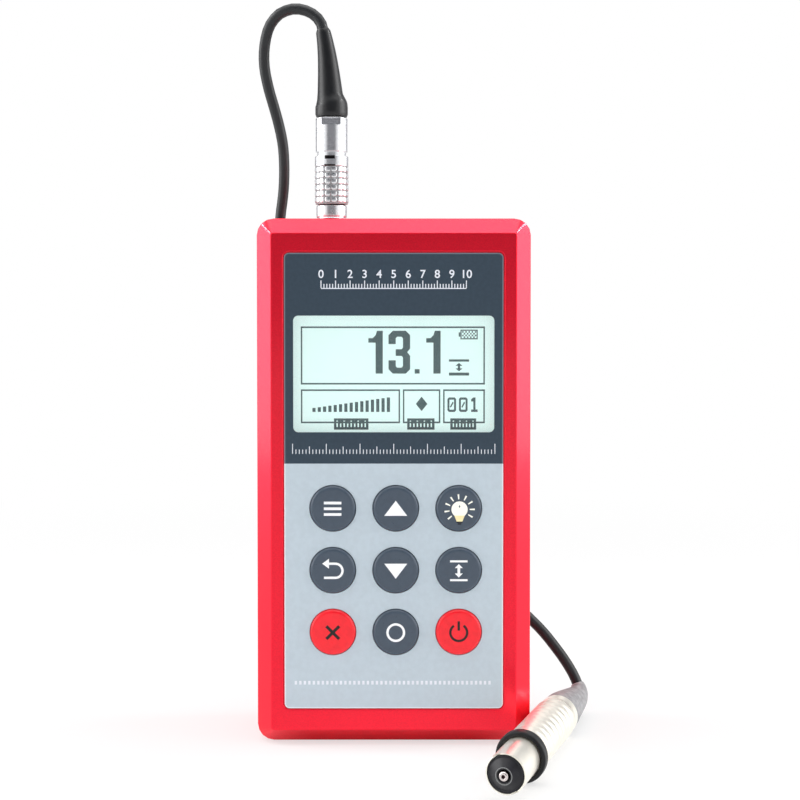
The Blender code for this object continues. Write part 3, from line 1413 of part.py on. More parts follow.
def make_grip(axis):
    ring_r = RING_D / 2
    ring_end = RING_FRONT + RING_L
    ring = [
        (nose_clear_r(), RING_FRONT),
        (ring_r - RING_ROUND, RING_FRONT),
        (ring_r, RING_FRONT + RING_ROUND),
        (ring_r, ring_end - RING_ROUND),
        (ring_r - RING_ROUND, ring_end),
        (NECK_D / 2 + SEAT_GAP, ring_end),
        (NECK_D / 2 + SEAT_GAP, RING_FRONT + RING_LIP_T),
        (nose_clear_r(), RING_FRONT + RING_LIP_T),
    ]
    piece("probe_ring", turned(ring), "black_rubber", parent=axis)

    grip_r = GRIP_D / 2
    ridge_r = RIDGE_D / 2
    bore_r = GRIP_BORE_D / 2
    ridges = [(grip_r, GRIP_RIDGE_START - GRIP_RIDGE_PITCH / 2)]
    for number in range(GRIP_RIDGES):
        crest = GRIP_RIDGE_START + number * GRIP_RIDGE_PITCH
        ridges += [(ridge_r, crest), (grip_r, crest + GRIP_RIDGE_PITCH / 2)]
    grip = [
        (NECK_D / 2, NECK_START),
        (NECK_D / 2, GRIP_SHOULDER),
        (grip_r, GRIP_SHOULDER),
        *ridges,
        (grip_r, PROBE_L - GRIP_BAND_L - GRIP_GROOVE_W),
        (grip_r - GRIP_RIDGE_H, PROBE_L - GRIP_BAND_L - GRIP_GROOVE_W / 2),
        (grip_r, PROBE_L - GRIP_BAND_L),
        (grip_r, PROBE_L - GRIP_NECK_WALL),
        (grip_r - GRIP_NECK_WALL, PROBE_L),
        (GRIP_CABLE_D / 2, PROBE_L),
        (GRIP_CABLE_D / 2, GRIP_BORE_Z1),
        (bore_r, GRIP_BORE_Z1),
        (bore_r, GRIP_STEP),
        (NECK_BORE_D / 2, GRIP_STEP),
        (NECK_BORE_D / 2, NECK_START),
    ]
    piece("probe_grip", turned(grip), "chrome", parent=axis)

    spring_r = GRIP_BORE_D / 2 - RUN_GAP - PROBE_SPRING_WIRE_R
    spring = conical_spring(
        "probe_spring",
        spring_r,
        spring_r,
        PROBE_SPRING_L,
        PROBE_SPRING_TURNS,
        PROBE_SPRING_WIRE_R,
        "spring_steel",
        axis,
    )
    spring.location = (0, 0, SPRING_START)

    clamp_r = bore_r - SEAT_GAP
    clamp = [
        (clamp_r, CLAMP_START),
        (clamp_r, CLAMP_START + CLAMP_L),
        (CLAMP_BORE_D / 2, CLAMP_START + CLAMP_L),
        (CLAMP_BORE_D / 2, CLAMP_START),
    ]
    piece("cable_clamp", turned(clamp, BOSS_SIDES), "brass", parent=axis)


def nose_clear_r():
    return NOSE_D / 2 + RUN_GAP


def make_boot(axis):
    """A rubber boot that leaves the grip straight, then turns up at its end to meet the cord."""
    bpy.context.view_layer.update()
    frame = axis.matrix_world
    along = (frame.to_3x3() @ Vector((0, 0, 1))).normalized()
    cord_end = Vector(CORD_ROUTE[-1])
    into_boot = (cord_end - Vector(CORD_ROUTE[-2])).normalized()
    start = frame @ Vector((0, 0, PROBE_L + SEAT_GAP))
    tip = cord_end + into_boot * SEAT_GAP
    pulls = (start, start + along * BOOT_REACH, tip + into_boot * BOOT_TURN_UP, tip)
    stations = []
    for step in range(BOOT_STEPS + 1):
        t = step / BOOT_STEPS
        shares = ((1 - t) ** 3, 3 * t * (1 - t) ** 2, 3 * t**2 * (1 - t), t**3)
        where = sum((pull * share for pull, share in zip(pulls, shares)), Vector())
        stations.append((where, (BOOT_BASE_D + (BOOT_TIP_D - BOOT_BASE_D) * t) / 2))
    stations.insert(-1, (tip + into_boot * BOOT_LEAD, BOOT_TIP_D / 2))
    tapered_tube("probe_boot", stations, 4, "grey_rubber")


def main():
    clear_scene()
    make_front_shell()
    make_rear_shell()
    make_case_screws()
    make_battery_cover()
    make_front_panel()
    make_display()
    make_keys()
    make_boards()
    make_battery_bay()
    make_socket()
    make_plug()
    make_cord()
    make_probe()


main()
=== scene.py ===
"""Coating thickness gauge: the finish of every surface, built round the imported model.

Metres, +Z up, the front faces -Y. The panel "Gauge" in the 3D view's sidebar adds each
group of pieces.
"""

import json
import math

import bmesh
import bpy
from bpy.props import FloatProperty, FloatVectorProperty, IntProperty, PointerProperty
from bpy.types import Operator, Panel, PropertyGroup
from mathutils import Matrix, Vector

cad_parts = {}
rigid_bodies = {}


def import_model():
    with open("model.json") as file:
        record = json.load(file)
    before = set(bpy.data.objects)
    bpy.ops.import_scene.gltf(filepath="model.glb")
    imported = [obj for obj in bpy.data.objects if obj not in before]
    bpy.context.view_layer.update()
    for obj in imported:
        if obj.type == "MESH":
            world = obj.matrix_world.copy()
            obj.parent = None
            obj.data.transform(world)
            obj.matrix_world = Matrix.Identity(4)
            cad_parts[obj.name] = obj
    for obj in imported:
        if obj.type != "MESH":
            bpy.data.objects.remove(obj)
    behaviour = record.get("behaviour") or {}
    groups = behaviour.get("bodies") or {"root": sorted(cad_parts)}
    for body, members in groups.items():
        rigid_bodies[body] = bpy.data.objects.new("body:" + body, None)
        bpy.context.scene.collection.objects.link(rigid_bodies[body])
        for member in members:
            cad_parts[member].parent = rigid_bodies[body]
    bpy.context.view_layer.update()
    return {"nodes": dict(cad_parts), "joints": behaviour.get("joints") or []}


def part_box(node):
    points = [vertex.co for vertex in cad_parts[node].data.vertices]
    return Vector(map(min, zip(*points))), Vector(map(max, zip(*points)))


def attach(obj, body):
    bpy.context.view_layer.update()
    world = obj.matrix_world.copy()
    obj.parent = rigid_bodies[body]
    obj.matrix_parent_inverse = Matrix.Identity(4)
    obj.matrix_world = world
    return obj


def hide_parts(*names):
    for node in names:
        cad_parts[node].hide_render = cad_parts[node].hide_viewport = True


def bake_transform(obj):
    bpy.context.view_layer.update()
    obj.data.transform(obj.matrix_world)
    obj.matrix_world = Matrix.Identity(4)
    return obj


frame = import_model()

bl_info = {
    "name": "Coating Thickness Gauge",
    "version": (1, 0, 0),
    "blender": (4, 5, 0),
    "location": "3D View > Sidebar > Gauge",
    "description": "Finishes a coating thickness gauge and lights it on a pale studio floor",
    "category": "Object",
}

MM = 0.001
WELD = 1e-7
SHARP = math.radians(30)
UPRIGHT = Vector((0, 0, 1))
FACING_FRONT = Matrix.Rotation(math.pi / 2, 4, "X")
WHITE = (1, 1, 1, 1)

# Places that the model gives
SHELL_LOW, SHELL_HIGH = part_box("front_shell")
PANEL_LOW, PANEL_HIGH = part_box("front_panel")
PANE_LOW, PANE_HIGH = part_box("display_window")
SLEEVE_LOW, SLEEVE_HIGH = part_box("plug_sleeve")
NUT_LOW, NUT_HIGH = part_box("plug_nut")
PLUG_LOW, PLUG_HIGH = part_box("plug_body")
FRONT_Y = SHELL_LOW.y
REAR_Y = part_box("rear_shell")[1].y
COVER_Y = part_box("battery_cover")[1].y
GLASS_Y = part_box("lcd_glass")[0].y
TOP_Z = SHELL_HIGH.z
PLUG_X = (SLEEVE_LOW.x + SLEEVE_HIGH.x) / 2
KEY_FUNCTIONS = ("menu", "up", "light", "quit", "down", "limit", "delete", "clear", "power")
RED_KEYS = ("delete", "power")

# Clearances and small sizes shared by the pieces
SEAT_GAP = 0.0003  # between pieces that touch
METAL_EDGE = 0.0003
KEY_FLANGE = 0.001
PRINT_T = 0.00003
SMALL_SIDES = 48
TUBE_SIDES = 48
TUBE_SHARP = math.radians(50)


def srgb(red, green, blue):
    """A screen colour in the linear values that shaders take."""
    return tuple(
        c / 12.92 if c <= 0.04045 else ((c + 0.055) / 1.055) ** 2.4
        for c in (red / 255, green / 255, blue / 255)
    )


def colour_property(name, description, default):
    return FloatVectorProperty(
        name=name, description=description, default=default, subtype="COLOR", min=0, max=1
    )


def length_property(name, description, default):
    return FloatProperty(
        name=name, description=description, default=default, unit="LENGTH", min=0, precision=5
    )


class GaugeColours(PropertyGroup):
    """The colours of the gauge's finishes."""

    housing: colour_property("Housing", "Red of the anodised shells", srgb(250, 32, 56))
    slate: colour_property("Slate", "Upper part of the printed panel", srgb(54, 67, 79))
    pale: colour_property("Pale", "Lower part of the printed panel", srgb(186, 199, 208))
    white_print: colour_property("White print", "Marks on the panel", srgb(226, 230, 238))
    key: colour_property("Key", "Slate keys", srgb(64, 76, 90))
    red_key: colour_property("Red key", "Delete and power keys", srgb(240, 22, 38))
    display: colour_property("Display", "Lit face of the display", srgb(206, 234, 230))
    dots: colour_property("Display dots", "Dots that are switched on", srgb(56, 82, 85))
    metal: colour_property("Bright metal", "Plug and probe", srgb(232, 233, 236))
    cord: colour_property("Cord", "Sleeve of the cord", srgb(34, 36, 38))
    relief: colour_property("Bend relief", "Rubber behind the plug", srgb(22, 23, 25))
    boot: colour_property("Boot", "Rubber behind the probe", srgb(150, 150, 152))


class GaugeSizes(PropertyGroup):
    """Small forms that a user would change."""

    shell_edge: length_property("Shell edge", "Rounding of the housing's outer edges", 0.0003)
    key_proud: length_property("Key height", "How far a key stands out of the front face", 0.0007)
    key_edge: length_property("Key edge", "Width of a key's rounded rim", 0.0007)
    knurl_height: length_property("Knurl height", "Height of the knurl's studs", 0.00024)
    ridge_height: length_property("Ridge height", "Height of the probe grip's ridges", 0.0003)
    round_sides: IntProperty(
        name="Round sides",
        description="Faces round a turned piece",
        default=96,
        min=24,
        max=256,
        subtype="UNSIGNED",
    )


def colours():
    """The colours that the user has chosen."""
    return bpy.context.scene.gauge_colours


def sizes():
    """The sizes that the user has chosen."""
    return bpy.context.scene.gauge_sizes


# Shader maths


class Wire:
    """A node's output, used in shader maths as a plain value."""

    def __init__(self, shade, socket):
        self.shade = shade
        self.socket = socket

    def __add__(self, other):
        return self.shade.maths("ADD", self, other)

    def __radd__(self, other):
        return self.shade.maths("ADD", other, self)

    def __sub__(self, other):
        return self.shade.maths("SUBTRACT", self, other)

    def __rsub__(self, other):
        return self.shade.maths("SUBTRACT", other, self)

    def __mul__(self, other):
        return self.shade.maths("MULTIPLY", self, other)

    def __rmul__(self, other):
        return self.shade.maths("MULTIPLY", other, self)

    def __truediv__(self, other):
        return self.shade.maths("DIVIDE", self, other)

    def __rtruediv__(self, other):
        return self.shade.maths("DIVIDE", other, self)

    def __pow__(self, other):
        return self.shade.maths("POWER", self, other)

    def __rpow__(self, other):
        return self.shade.maths("POWER", other, self)

    def __gt__(self, other):
        return self.shade.maths("GREATER_THAN", self, other)

    def __lt__(self, other):
        return self.shade.maths("LESS_THAN", self, other)

    def __abs__(self):
        return self.shade.maths("ABSOLUTE", self)


class Shade:
    """A node tree under construction."""

    def __init__(self, tree):
        self.tree = tree

    def feed(self, socket, value):
        """Links a wire to a socket, or sets the socket to a value."""
        if isinstance(value, Wire):
            self.tree.links.new(value.socket, socket)
        else:
            socket.default_value = value

    def node(self, kind, settings=None, inputs=None, output=0):
        """Adds a node, sets its settings and then its sockets, and gives one of its outputs."""
        made = self.tree.nodes.new(kind)
        for name, value in (settings or {}).items():
            setattr(made, name, value)
        for name, value in (inputs or {}).items():
            self.feed(made.inputs[name], value)
        return Wire(self, made.outputs[output])

    def maths(self, operation, *values):
        """A Math node on these values."""
        return self.node("ShaderNodeMath", {"operation": operation}, dict(enumerate(values)))

    def between(self, value, low, high):
        """0 below the first value and 1 above the second, in a smooth step."""
        return self.node(
            "ShaderNodeMapRange",
            {"interpolation_type": "SMOOTHSTEP"},
            {"Value": value, "From Min": low, "From Max": high},
        )

    def mixed(self, mask, first, second):
        """The first colour where the mask is 0, the second where it is 1."""
        first, second = (
            value if isinstance(value, Wire) else (*value, 1) for value in (first, second)
        )
        return self.node("ShaderNodeMix", {"data_type": "RGBA"}, {0: mask, 6: first, 7: second}, 2)

    def ray(self, kind):
        """1 for light rays of this kind."""
        return self.node("ShaderNodeLightPath", output=f"Is {kind} Ray")

    def end_in(self, output, mask, first, second):
        """Shows the first shader where the mask is 0 and the second where it is 1."""
        shown = self.node("ShaderNodeMixShader", inputs={0: mask, 1: first, 2: second})
        self.feed(self.tree.nodes[output].inputs["Surface"], shown)


class Finish(Shade):
    """A material with one Principled shader."""

    def __init__(self, name, colour, roughness, metallic=0.0, **fixed):
        self.material = bpy.data.materials.new(name)
        self.material.use_nodes = True
        super().__init__(self.material.node_tree)
        self.shader = self.tree.nodes["Principled BSDF"]
        self.set("Base Color", (*colour, 1))
        self.set("Roughness", roughness)
        self.set("Metallic", metallic)
        for socket, value in fixed.items():
            self.set(socket.replace("_", " ").title().replace("Ior", "IOR"), value)
        self.place = self.node("ShaderNodeTexCoord", output=3)

    def set(self, socket, value):
        """Feeds one of the shader's sockets."""
        self.feed(self.shader.inputs[socket], value)

    def axes(self):
        """X, Y and Z of the place on the piece."""
        split = self.node("ShaderNodeSeparateXYZ", inputs={0: self.place}).socket.node
        return [Wire(self, split.outputs[axis]) for axis in "XYZ"]

    def lay_along(self, axis, origin=Vector()):
        """Measures places from this origin, with Z along this axis."""
        turn = axis.rotation_difference(Vector((0, 0, 1)))
        settings = {"vector_type": "POINT"}
        inputs = {"Vector": self.place, "Rotation": turn.to_euler(), "Location": -(turn @ origin)}
        self.place = self.node("ShaderNodeMapping", settings, inputs)

    def radius(self):
        """How far a point lies from the Z axis."""
        x, y, z = self.axes()
        return (x * x + y * y) ** 0.5

    def noise(self, size, detail=2.0, stretch=None):
        """Noise with features of this size in metres, drawn out along each axis by the stretch."""
        place = self.place
        if stretch:
            settings = {"vector_type": "POINT"}
            scale = [1 / amount for amount in stretch]
            place = self.node("ShaderNodeMapping", settings, {"Vector": place, "Scale": scale})
        inputs = {"Vector": place, "Scale": 1 / size, "Detail": detail}
        return self.node("ShaderNodeTexNoise", inputs=inputs)

    def bump(self, height, depth, strength):
        """Raises the surface by up to this depth where the height is 1."""
        inputs = {"Height": height, "Strength": strength, "Distance": depth}
        self.set("Normal", self.node("ShaderNodeBump", inputs=inputs))

    def mottle(self, colour, size, spread, detail=2.0):
        """The colour, a little darker and lighter in patches of this size."""
        share = self.between(self.noise(size, detail), 0.3, 0.7)
        return self.mixed(share, shaded(colour, 1 - spread), shaded(colour, 1 + spread))


def shaded(colour, factor):
    """The colour made lighter or darker by this factor."""
    return tuple(min(1.0, channel * factor) for channel in colour)


# Finishes that several groups of pieces share

CHROME_ROUGH = 0.25
BRASS = srgb(202, 166, 92)


def satin(name, colour, roughness, spread=0.06, size=0.0005, depth=0.00002, **fixed):
    """A moulded or painted surface with a fine grain."""
    colour = tuple(colour)
    finish = Finish(name, colour, roughness, **fixed)
    finish.set("Base Color", finish.mottle(colour, size * 4, spread, detail=3.0))
    grain = finish.noise(size, detail=3.0)
    finish.set("Roughness", roughness - 0.06 + 0.12 * grain)
    finish.bump(grain, depth, strength=0.4)
    return finish.material


def turned_finish(name, colour, roughness, axis, origin=Vector(), streak=0.05):
    """Bright metal with faint turning marks round an axis."""
    finish = Finish(name, colour, roughness, 1.0)
    finish.lay_along(axis, origin)
    marks = finish.noise(size=0.00012, stretch=(60, 60, 1))
    haze = finish.noise(size=0.004)
    finish.set("Roughness", roughness - streak / 2 + streak * marks + 0.06 * haze)
    finish.set("Base Color", finish.mottle(tuple(colour), size=0.006, spread=0.04))
    finish.bump(marks, depth=0.000004, strength=0.5)
    return finish


def turned_metal(name, colour, roughness, axis=UPRIGHT, streak=0.05):
    """The same as a finished material."""
    return turned_finish(name, colour, roughness, axis, streak=streak).material


# Meshes

SIDE_SHARE = 0.45


def softened(profile, size, steps=4):
    """The profile with its inner corners rounded by up to this size."""
    points = [Vector(point) for point in profile]
    rounded = [points[0]]
    for before, corner, after in zip(points, points[1:], points[2:]):
        reach_back = min(size, (before - corner).length * SIDE_SHARE)
        reach_on = min(size, (after - corner).length * SIDE_SHARE)
        start = corner + (before - corner).normalized() * reach_back
        end = corner + (after - corner).normalized() * reach_on
        for step in range(steps + 1):
            t = step / steps
            rounded.append(start * (1 - t) ** 2 + corner * 2 * t * (1 - t) + end * t * t)
    rounded.append(points[-1])
    return [tuple(point) for point in rounded]


def closed_softened(profile, size, steps=4):
    """The same for a closed loop, whose seam is put on the middle of its last side."""
    seam = tuple((Vector(profile[0]) + Vector(profile[-1])) / 2)
    return softened([seam, *profile, seam], size, steps)[:-1]


def turned(profile, sides=None):
    """A profile of (radius, height) turned about local Z.

    One that starts off the axis is a closed loop.
    """
    bm = bmesh.new()
    verts = [bm.verts.new((radius, 0, height)) for radius, height in profile]
    following = verts[1:]
    if profile[0][0] > WELD:
        following.append(verts[0])
    edges = [bm.edges.new(pair) for pair in zip(verts, following)]
    bmesh.ops.spin(
        bm,
        geom=verts + edges,
        axis=(0, 0, 1),
        cent=(0, 0, 0),
        angle=math.tau,
        steps=sides or sizes().round_sides,
        use_merge=True,
    )
    bmesh.ops.remove_doubles(bm, verts=bm.verts, dist=WELD)
    bmesh.ops.recalc_face_normals(bm, faces=bm.faces)
    return bm


def evaluated(obj):
    """A bmesh of an object's final shape, and the object is gone."""
    bpy.context.view_layer.update()
    graph = bpy.context.evaluated_depsgraph_get()
    mesh = bpy.data.meshes.new_from_object(obj.evaluated_get(graph), depsgraph=graph)
    bm = bmesh.new()
    bm.from_mesh(mesh)
    bpy.data.meshes.remove(mesh)
    data = obj.data
    bpy.data.objects.remove(obj)
    if data.users == 0:
        bpy.data.batch_remove([data])
    return bm


def loose_object(name, data):
    """An object in the scene that isn't a piece yet."""
    obj = bpy.data.objects.new(name, data)
    bpy.context.scene.collection.objects.link(obj)
    return obj


def mesh_of(name, bm):
    """A mesh made of a bmesh, which is freed."""
    mesh = bpy.data.meshes.new(name)
    bm.to_mesh(mesh)
    bm.free()
    return mesh


def cut(bm, cutter):
    """What is left of one closed shape after another is cut from it."""
    target = loose_object("target", mesh_of("target", bm))
    tool = loose_object("tool", mesh_of("tool", cutter))
    modifier = target.modifiers.new("cut", "BOOLEAN")
    modifier.operation = "DIFFERENCE"
    modifier.object = tool
    modifier.solver = "EXACT"
    left = evaluated(target)
    mesh = tool.data
    bpy.data.objects.remove(tool)
    bpy.data.meshes.remove(mesh)
    return left


def rod(sides, radius, length, place=Matrix()):
    """A straight rod along local Z, with its middle at this place."""
    bm = bmesh.new()
    bmesh.ops.create_cone(
        bm,
        cap_ends=True,
        segments=sides,
        radius1=radius,
        radius2=radius,
        depth=length,
        matrix=place,
    )
    return bm


def pointing(where, along):
    """A place whose local Z points this way."""
    turn = UPRIGHT.rotation_difference(along.normalized()).to_matrix().to_4x4()
    return Matrix.Translation(where) @ turn


def arc(radius, start, end, steps, centre=(0, 0)):
    """Points round a centre, from one angle to another."""
    angles = [start + (end - start) * step / steps for step in range(steps + 1)]
    return [(centre[0] + radius * math.cos(a), centre[1] + radius * math.sin(a)) for a in angles]


def circle_outline(radius, centre=(0, 0), steps=72):
    """A circle's outline."""
    return arc(radius, 0, math.tau, steps, centre)[:-1]


def rounded_outline(width, height, corner, centre, steps=8):
    """A rounded rectangle's outline."""
    points = []
    for quarter, (side_x, side_z) in enumerate(((1, 1), (-1, 1), (-1, -1), (1, -1))):
        middle = (
            centre[0] + side_x * (width / 2 - corner),
            centre[1] + side_z * (height / 2 - corner),
        )
        start = quarter * math.pi / 2
        points += arc(corner, start, start + math.pi / 2, steps, middle)
    return points


def bar(x0, z0, x1, z1):
    """A rectangle's outline, from one corner to the opposite one."""
    return [(x0, z0), (x1, z0), (x1, z1), (x0, z1)]


def raised(curve, front, thickness, centre=(0, 0)):
    """A plate that faces -Y, of a flat curve drawn in millimetres."""
    curve.extrude = thickness / 2 / MM
    bm = evaluated(loose_object(curve.name, curve))
    bmesh.ops.remove_doubles(bm, verts=bm.verts, dist=WELD / MM)
    middle = Matrix.Translation((centre[0], front + thickness / 2, centre[1]))
    place = middle @ FACING_FRONT @ Matrix.Scale(MM, 4)
    bmesh.ops.transform(bm, verts=bm.verts, matrix=place)
    bmesh.ops.recalc_face_normals(bm, faces=bm.faces)
    return bm


def flat_shape(outlines, front, thickness):
    """A plate of closed outlines in X and Z. An outline inside another is a hole."""
    curve = bpy.data.curves.new("outline", "CURVE")
    curve.dimensions = "2D"
    curve.fill_mode = "BOTH"
    for points in outlines:
        spline = curve.splines.new("POLY")
        spline.points.add(len(points) - 1)
        for point, (x, z) in zip(spline.points, points):
            point.co = (x / MM, z / MM, 0, 1)
        spline.use_cyclic_u = True
    return raised(curve, front, thickness)


def number_shape(text, size, centre, front, thickness):
    """A plate of plain numbers, centred on this place."""
    curve = bpy.data.curves.new("number", "FONT")
    curve.body = text
    curve.size = size / MM
    curve.align_x = "CENTER"
    curve.align_y = "CENTER"
    curve.offset = size / MM * NUMBER_WEIGHT
    return raised(curve, front, thickness, centre)


def round_edges(bm, edges, size, segments):
    """Rounds these edges."""
    bmesh.ops.bevel(
        bm,
        geom=edges,
        offset=size,
        affect="EDGES",
        segments=segments,
        profile=0.5,
        material=-1,
        clamp_overlap=False,
    )


def swept(stations, sides=TUBE_SIDES):
    """A round tube through (point, radius) stations, with closed ends."""
    bm = bmesh.new()
    rings = []
    points = [Vector(point) for point, radius in stations]
    for index, (point, radius) in enumerate(stations):
        before = points[max(index - 1, 0)]
        after = points[min(index + 1, len(points) - 1)]
        along = after - before
        if along.length < WELD:
            along = points[-1] - points[0]
        made = bmesh.ops.create_circle(
            bm, cap_ends=False, segments=sides, radius=radius, matrix=pointing(point, along)
        )
        rings.append(made["verts"])
    for lower, upper in zip(rings, rings[1:]):
        edges = {
            edge
            for ring in (lower, upper)
            for vert in ring
            for edge in vert.link_edges
            if edge.other_vert(vert) in ring
        }
        bmesh.ops.bridge_loops(bm, edges=list(edges))
    bmesh.ops.holes_fill(bm, edges=bm.edges, sides=0)
    bmesh.ops.recalc_face_normals(bm, faces=bm.faces)
    return bm


def tube_shape(path, radius, sides):
    """A round tube along a path, with closed ends."""
    curve = bpy.data.curves.new("tube", "CURVE")
    curve.dimensions = "3D"
    curve.bevel_depth = radius
    curve.bevel_resolution = sides // 4 - 1
    curve.use_fill_caps = True
    spline = curve.splines.new("POLY")
    spline.points.add(len(path) - 1)
    for point, where in zip(spline.points, path):
        point.co = (*where, 1)
    bm = evaluated(loose_object("tube", curve))
    bmesh.ops.remove_doubles(bm, verts=bm.verts, dist=WELD)
    return bm


def joined(*shapes):
    """One bmesh of several."""
    whole = bmesh.new()
    for shape in shapes:
        mesh = mesh_of("joined", shape)
        whole.from_mesh(mesh)
        bpy.data.meshes.remove(mesh)
    return whole


def finished_object(name, bm, material, nodes=(), sharp=SHARP):
    """A finished piece's object, which stands for the nodes given."""
    mesh = mesh_of(name, bm)
    mesh.shade_smooth()
    mesh.set_sharp_from_angle(angle=sharp)
    mesh.materials.append(material)
    obj = loose_object(name, mesh)
    if nodes:
        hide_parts(*nodes)
    return obj


def add_piece(name, bm, material, body, nodes=(), place=None):
    """Adds a piece that rides on one body."""
    if place:
        bmesh.ops.transform(bm, verts=bm.verts, matrix=place)
    obj = finished_object(name, bm, material, nodes)
    flat_faces = obj.modifiers.new("flat_faces", "WEIGHTED_NORMAL")
    flat_faces.keep_sharp = True
    flat_faces.weight = 100
    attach(obj, body)


def dress(material, *nodes):
    """Gives CAD nodes that stay in view their finish."""
    for node in nodes:
        mesh = frame["nodes"][node].data
        mesh.materials.clear()
        mesh.materials.append(material)


# Stage

FLOOR_W = 8.0
FLOOR_COLOUR = (0.86, 0.86, 0.86)
# Where the floor fades to white for the camera, how white it is before that, and
# where it fades to white in what metal mirrors
FLOOR_NEAR, FLOOR_FAR = 0.08, 0.5
FLOOR_LIFT = 0.6
MIRROR_NEAR, MIRROR_FAR = 0.025, 0.06
WORLD_LEVEL = 0.3  # light from the room, where 1 is white
CAMERA_AT = (0.00186, -0.4033, 0.1341)
CAMERA_PITCH = math.radians(-1.3)
CAMERA_LENS = 59.0
CAMERA_SHIFT = -0.094
CAMERA_SENSOR = 36
CAMERA_NEAR = 0.01
AIM = Vector((0, 0, 0.09))
SOFTBOXES = (
    # name, place, size, power in watts, whether polished metal mirrors it
    ("left_softbox", (-0.70, -0.05, 0.20), (0.5, 0.8), 4.5, True),
    ("right_softbox", (0.70, -0.05, 0.20), (0.5, 0.8), 4.5, True),
    ("top_softbox", (0.0, -0.05, 0.95), (0.9, 0.6), 4.5, True),
    ("front_softbox", (-0.45, -0.95, 0.35), (0.5, 0.7), 2.2, False),
    ("low_softbox", (0.40, -0.90, 0.12), (0.7, 0.2), 1.6, False),
    ("left_corner_lamp", (-0.475, 0.05, 0.565), (0.08, 0.08), 0.8, True),
    ("right_corner_lamp", (0.475, 0.05, 0.565), (0.08, 0.08), 0.8, True),
)
CARDS = (
    # name, place, size
    ("room_card", (0.0, -1.25, 0.66), (1.9, 1.3)),
    ("left_card", (-0.42, 0.55, 0.35), (0.26, 0.9)),
    ("right_card", (0.42, 0.55, 0.35), (0.26, 0.9)),
)
CARD_GREY = (0.25, 0.255, 0.28)


def aimed(at, side):
    """The turn that points this side of a lamp or card at the gauge."""
    return (AIM - Vector(at)).to_track_quat(side, "Y")


def add_softbox(name, at, size, power, mirrored):
    """Adds a soft lamp that shines on the gauge."""
    lamp = bpy.data.lights.new(name, "AREA")
    lamp.shape = "RECTANGLE"
    lamp.size, lamp.size_y = size
    lamp.energy = power
    holder = loose_object(name, lamp)
    holder.location = at
    holder.rotation_euler = aimed(at, "-Z").to_euler()
    holder.visible_glossy = mirrored


def add_cards():
    """Dark cards out of the picture, which give polished metal its dark lines."""
    material = Finish("card", CARD_GREY, 0.9).material
    for name, at, (wide, tall) in CARDS:
        bm = bmesh.new()
        bmesh.ops.create_grid(bm, x_segments=1, y_segments=1, size=0.5)
        place = Matrix.LocRotScale(Vector(at), aimed(at, "Z"), Vector((wide, tall, 1)))
        bmesh.ops.transform(bm, verts=bm.verts, matrix=place)
        mesh = mesh_of(name, bm)
        mesh.materials.append(material)
        card = loose_object(name, mesh)
        card.visible_camera = False


def add_floor():
    """A pale floor that keeps shadows and fades to white further out."""
    bm = bmesh.new()
    bmesh.ops.create_grid(bm, x_segments=1, y_segments=1, size=FLOOR_W / 2)
    mesh = mesh_of("floor", bm)
    finish = Finish("pale_floor", FLOOR_COLOUR, 0.8, specular_ior_level=0.1)
    away = finish.node("ShaderNodeVectorMath", {"operation": "LENGTH"}, {0: finish.place}, 1)
    white = finish.between(away, FLOOR_NEAR, FLOOR_FAR) * (1 - FLOOR_LIFT) + FLOOR_LIFT
    mirrored = finish.between(away, MIRROR_NEAR, MIRROR_FAR)
    seen = finish.ray("Camera") * white + finish.ray("Glossy") * mirrored
    lit = Wire(finish, finish.shader.outputs[0])
    glow = finish.node("ShaderNodeEmission", inputs={"Color": WHITE, "Strength": 1.0})
    finish.end_in("Material Output", seen, lit, glow)
    mesh.materials.append(finish.material)
    loose_object("floor", mesh)


def light_world():
    """Soft light from all sides, with a white room for the camera and for gloss."""
    world = bpy.data.worlds.new("studio")
    bpy.context.scene.world = world
    world.use_nodes = True
    shade = Shade(world.node_tree)
    seen = shade.ray("Camera") + shade.ray("Glossy") + shade.ray("Transmission")
    room = shade.node("ShaderNodeBackground", inputs={"Color": WHITE, "Strength": WORLD_LEVEL})
    white = shade.node("ShaderNodeBackground", inputs={"Color": WHITE, "Strength": 1.0})
    shade.end_in("World Output", seen, room, white)


class GAUGE_OT_stage(Operator):
    """Add the pale floor, the soft studio light and the camera"""

    bl_idname = "gauge.add_stage"
    bl_label = "Stage"

    def execute(self, context):
        add_floor()
        light_world()
        for softbox in SOFTBOXES:
            add_softbox(*softbox)
        add_cards()
        lens = bpy.data.cameras.new("camera")
        lens.lens = CAMERA_LENS
        lens.shift_y = CAMERA_SHIFT
        lens.sensor_width = CAMERA_SENSOR
        lens.clip_start = CAMERA_NEAR
        holder = loose_object("camera", lens)
        holder.location = CAMERA_AT
        holder.rotation_euler = (math.pi / 2 + CAMERA_PITCH, 0, 0)
        context.scene.camera = holder
        context.scene.view_settings.view_transform = "Standard"
        return {"FINISHED"}


# Housing

OUTLINE_R = 0.005
OUTLINE_SKIN = 0.00008  # how far an edge may lie from the outline, and from a face
FACE_SKIN = 0.00002
JOIN_ANGLE = math.radians(0.5)
EDGE_ANGLE = math.radians(20)
SCREWS = (
    # name, how many, shank's radius, head's thickness, countersunk
    ("case_screw", 4, 0.0015, 0.0028, False),
    ("cover_screw", 2, 0.001, 0.0009, True),
)
SCREW_HEX_DEPTH = 0.0014
SCREW_HEX_SHARE = 0.27
SCREW_HEX_REACH = 0.6
SCREW_EDGE = 0.0003


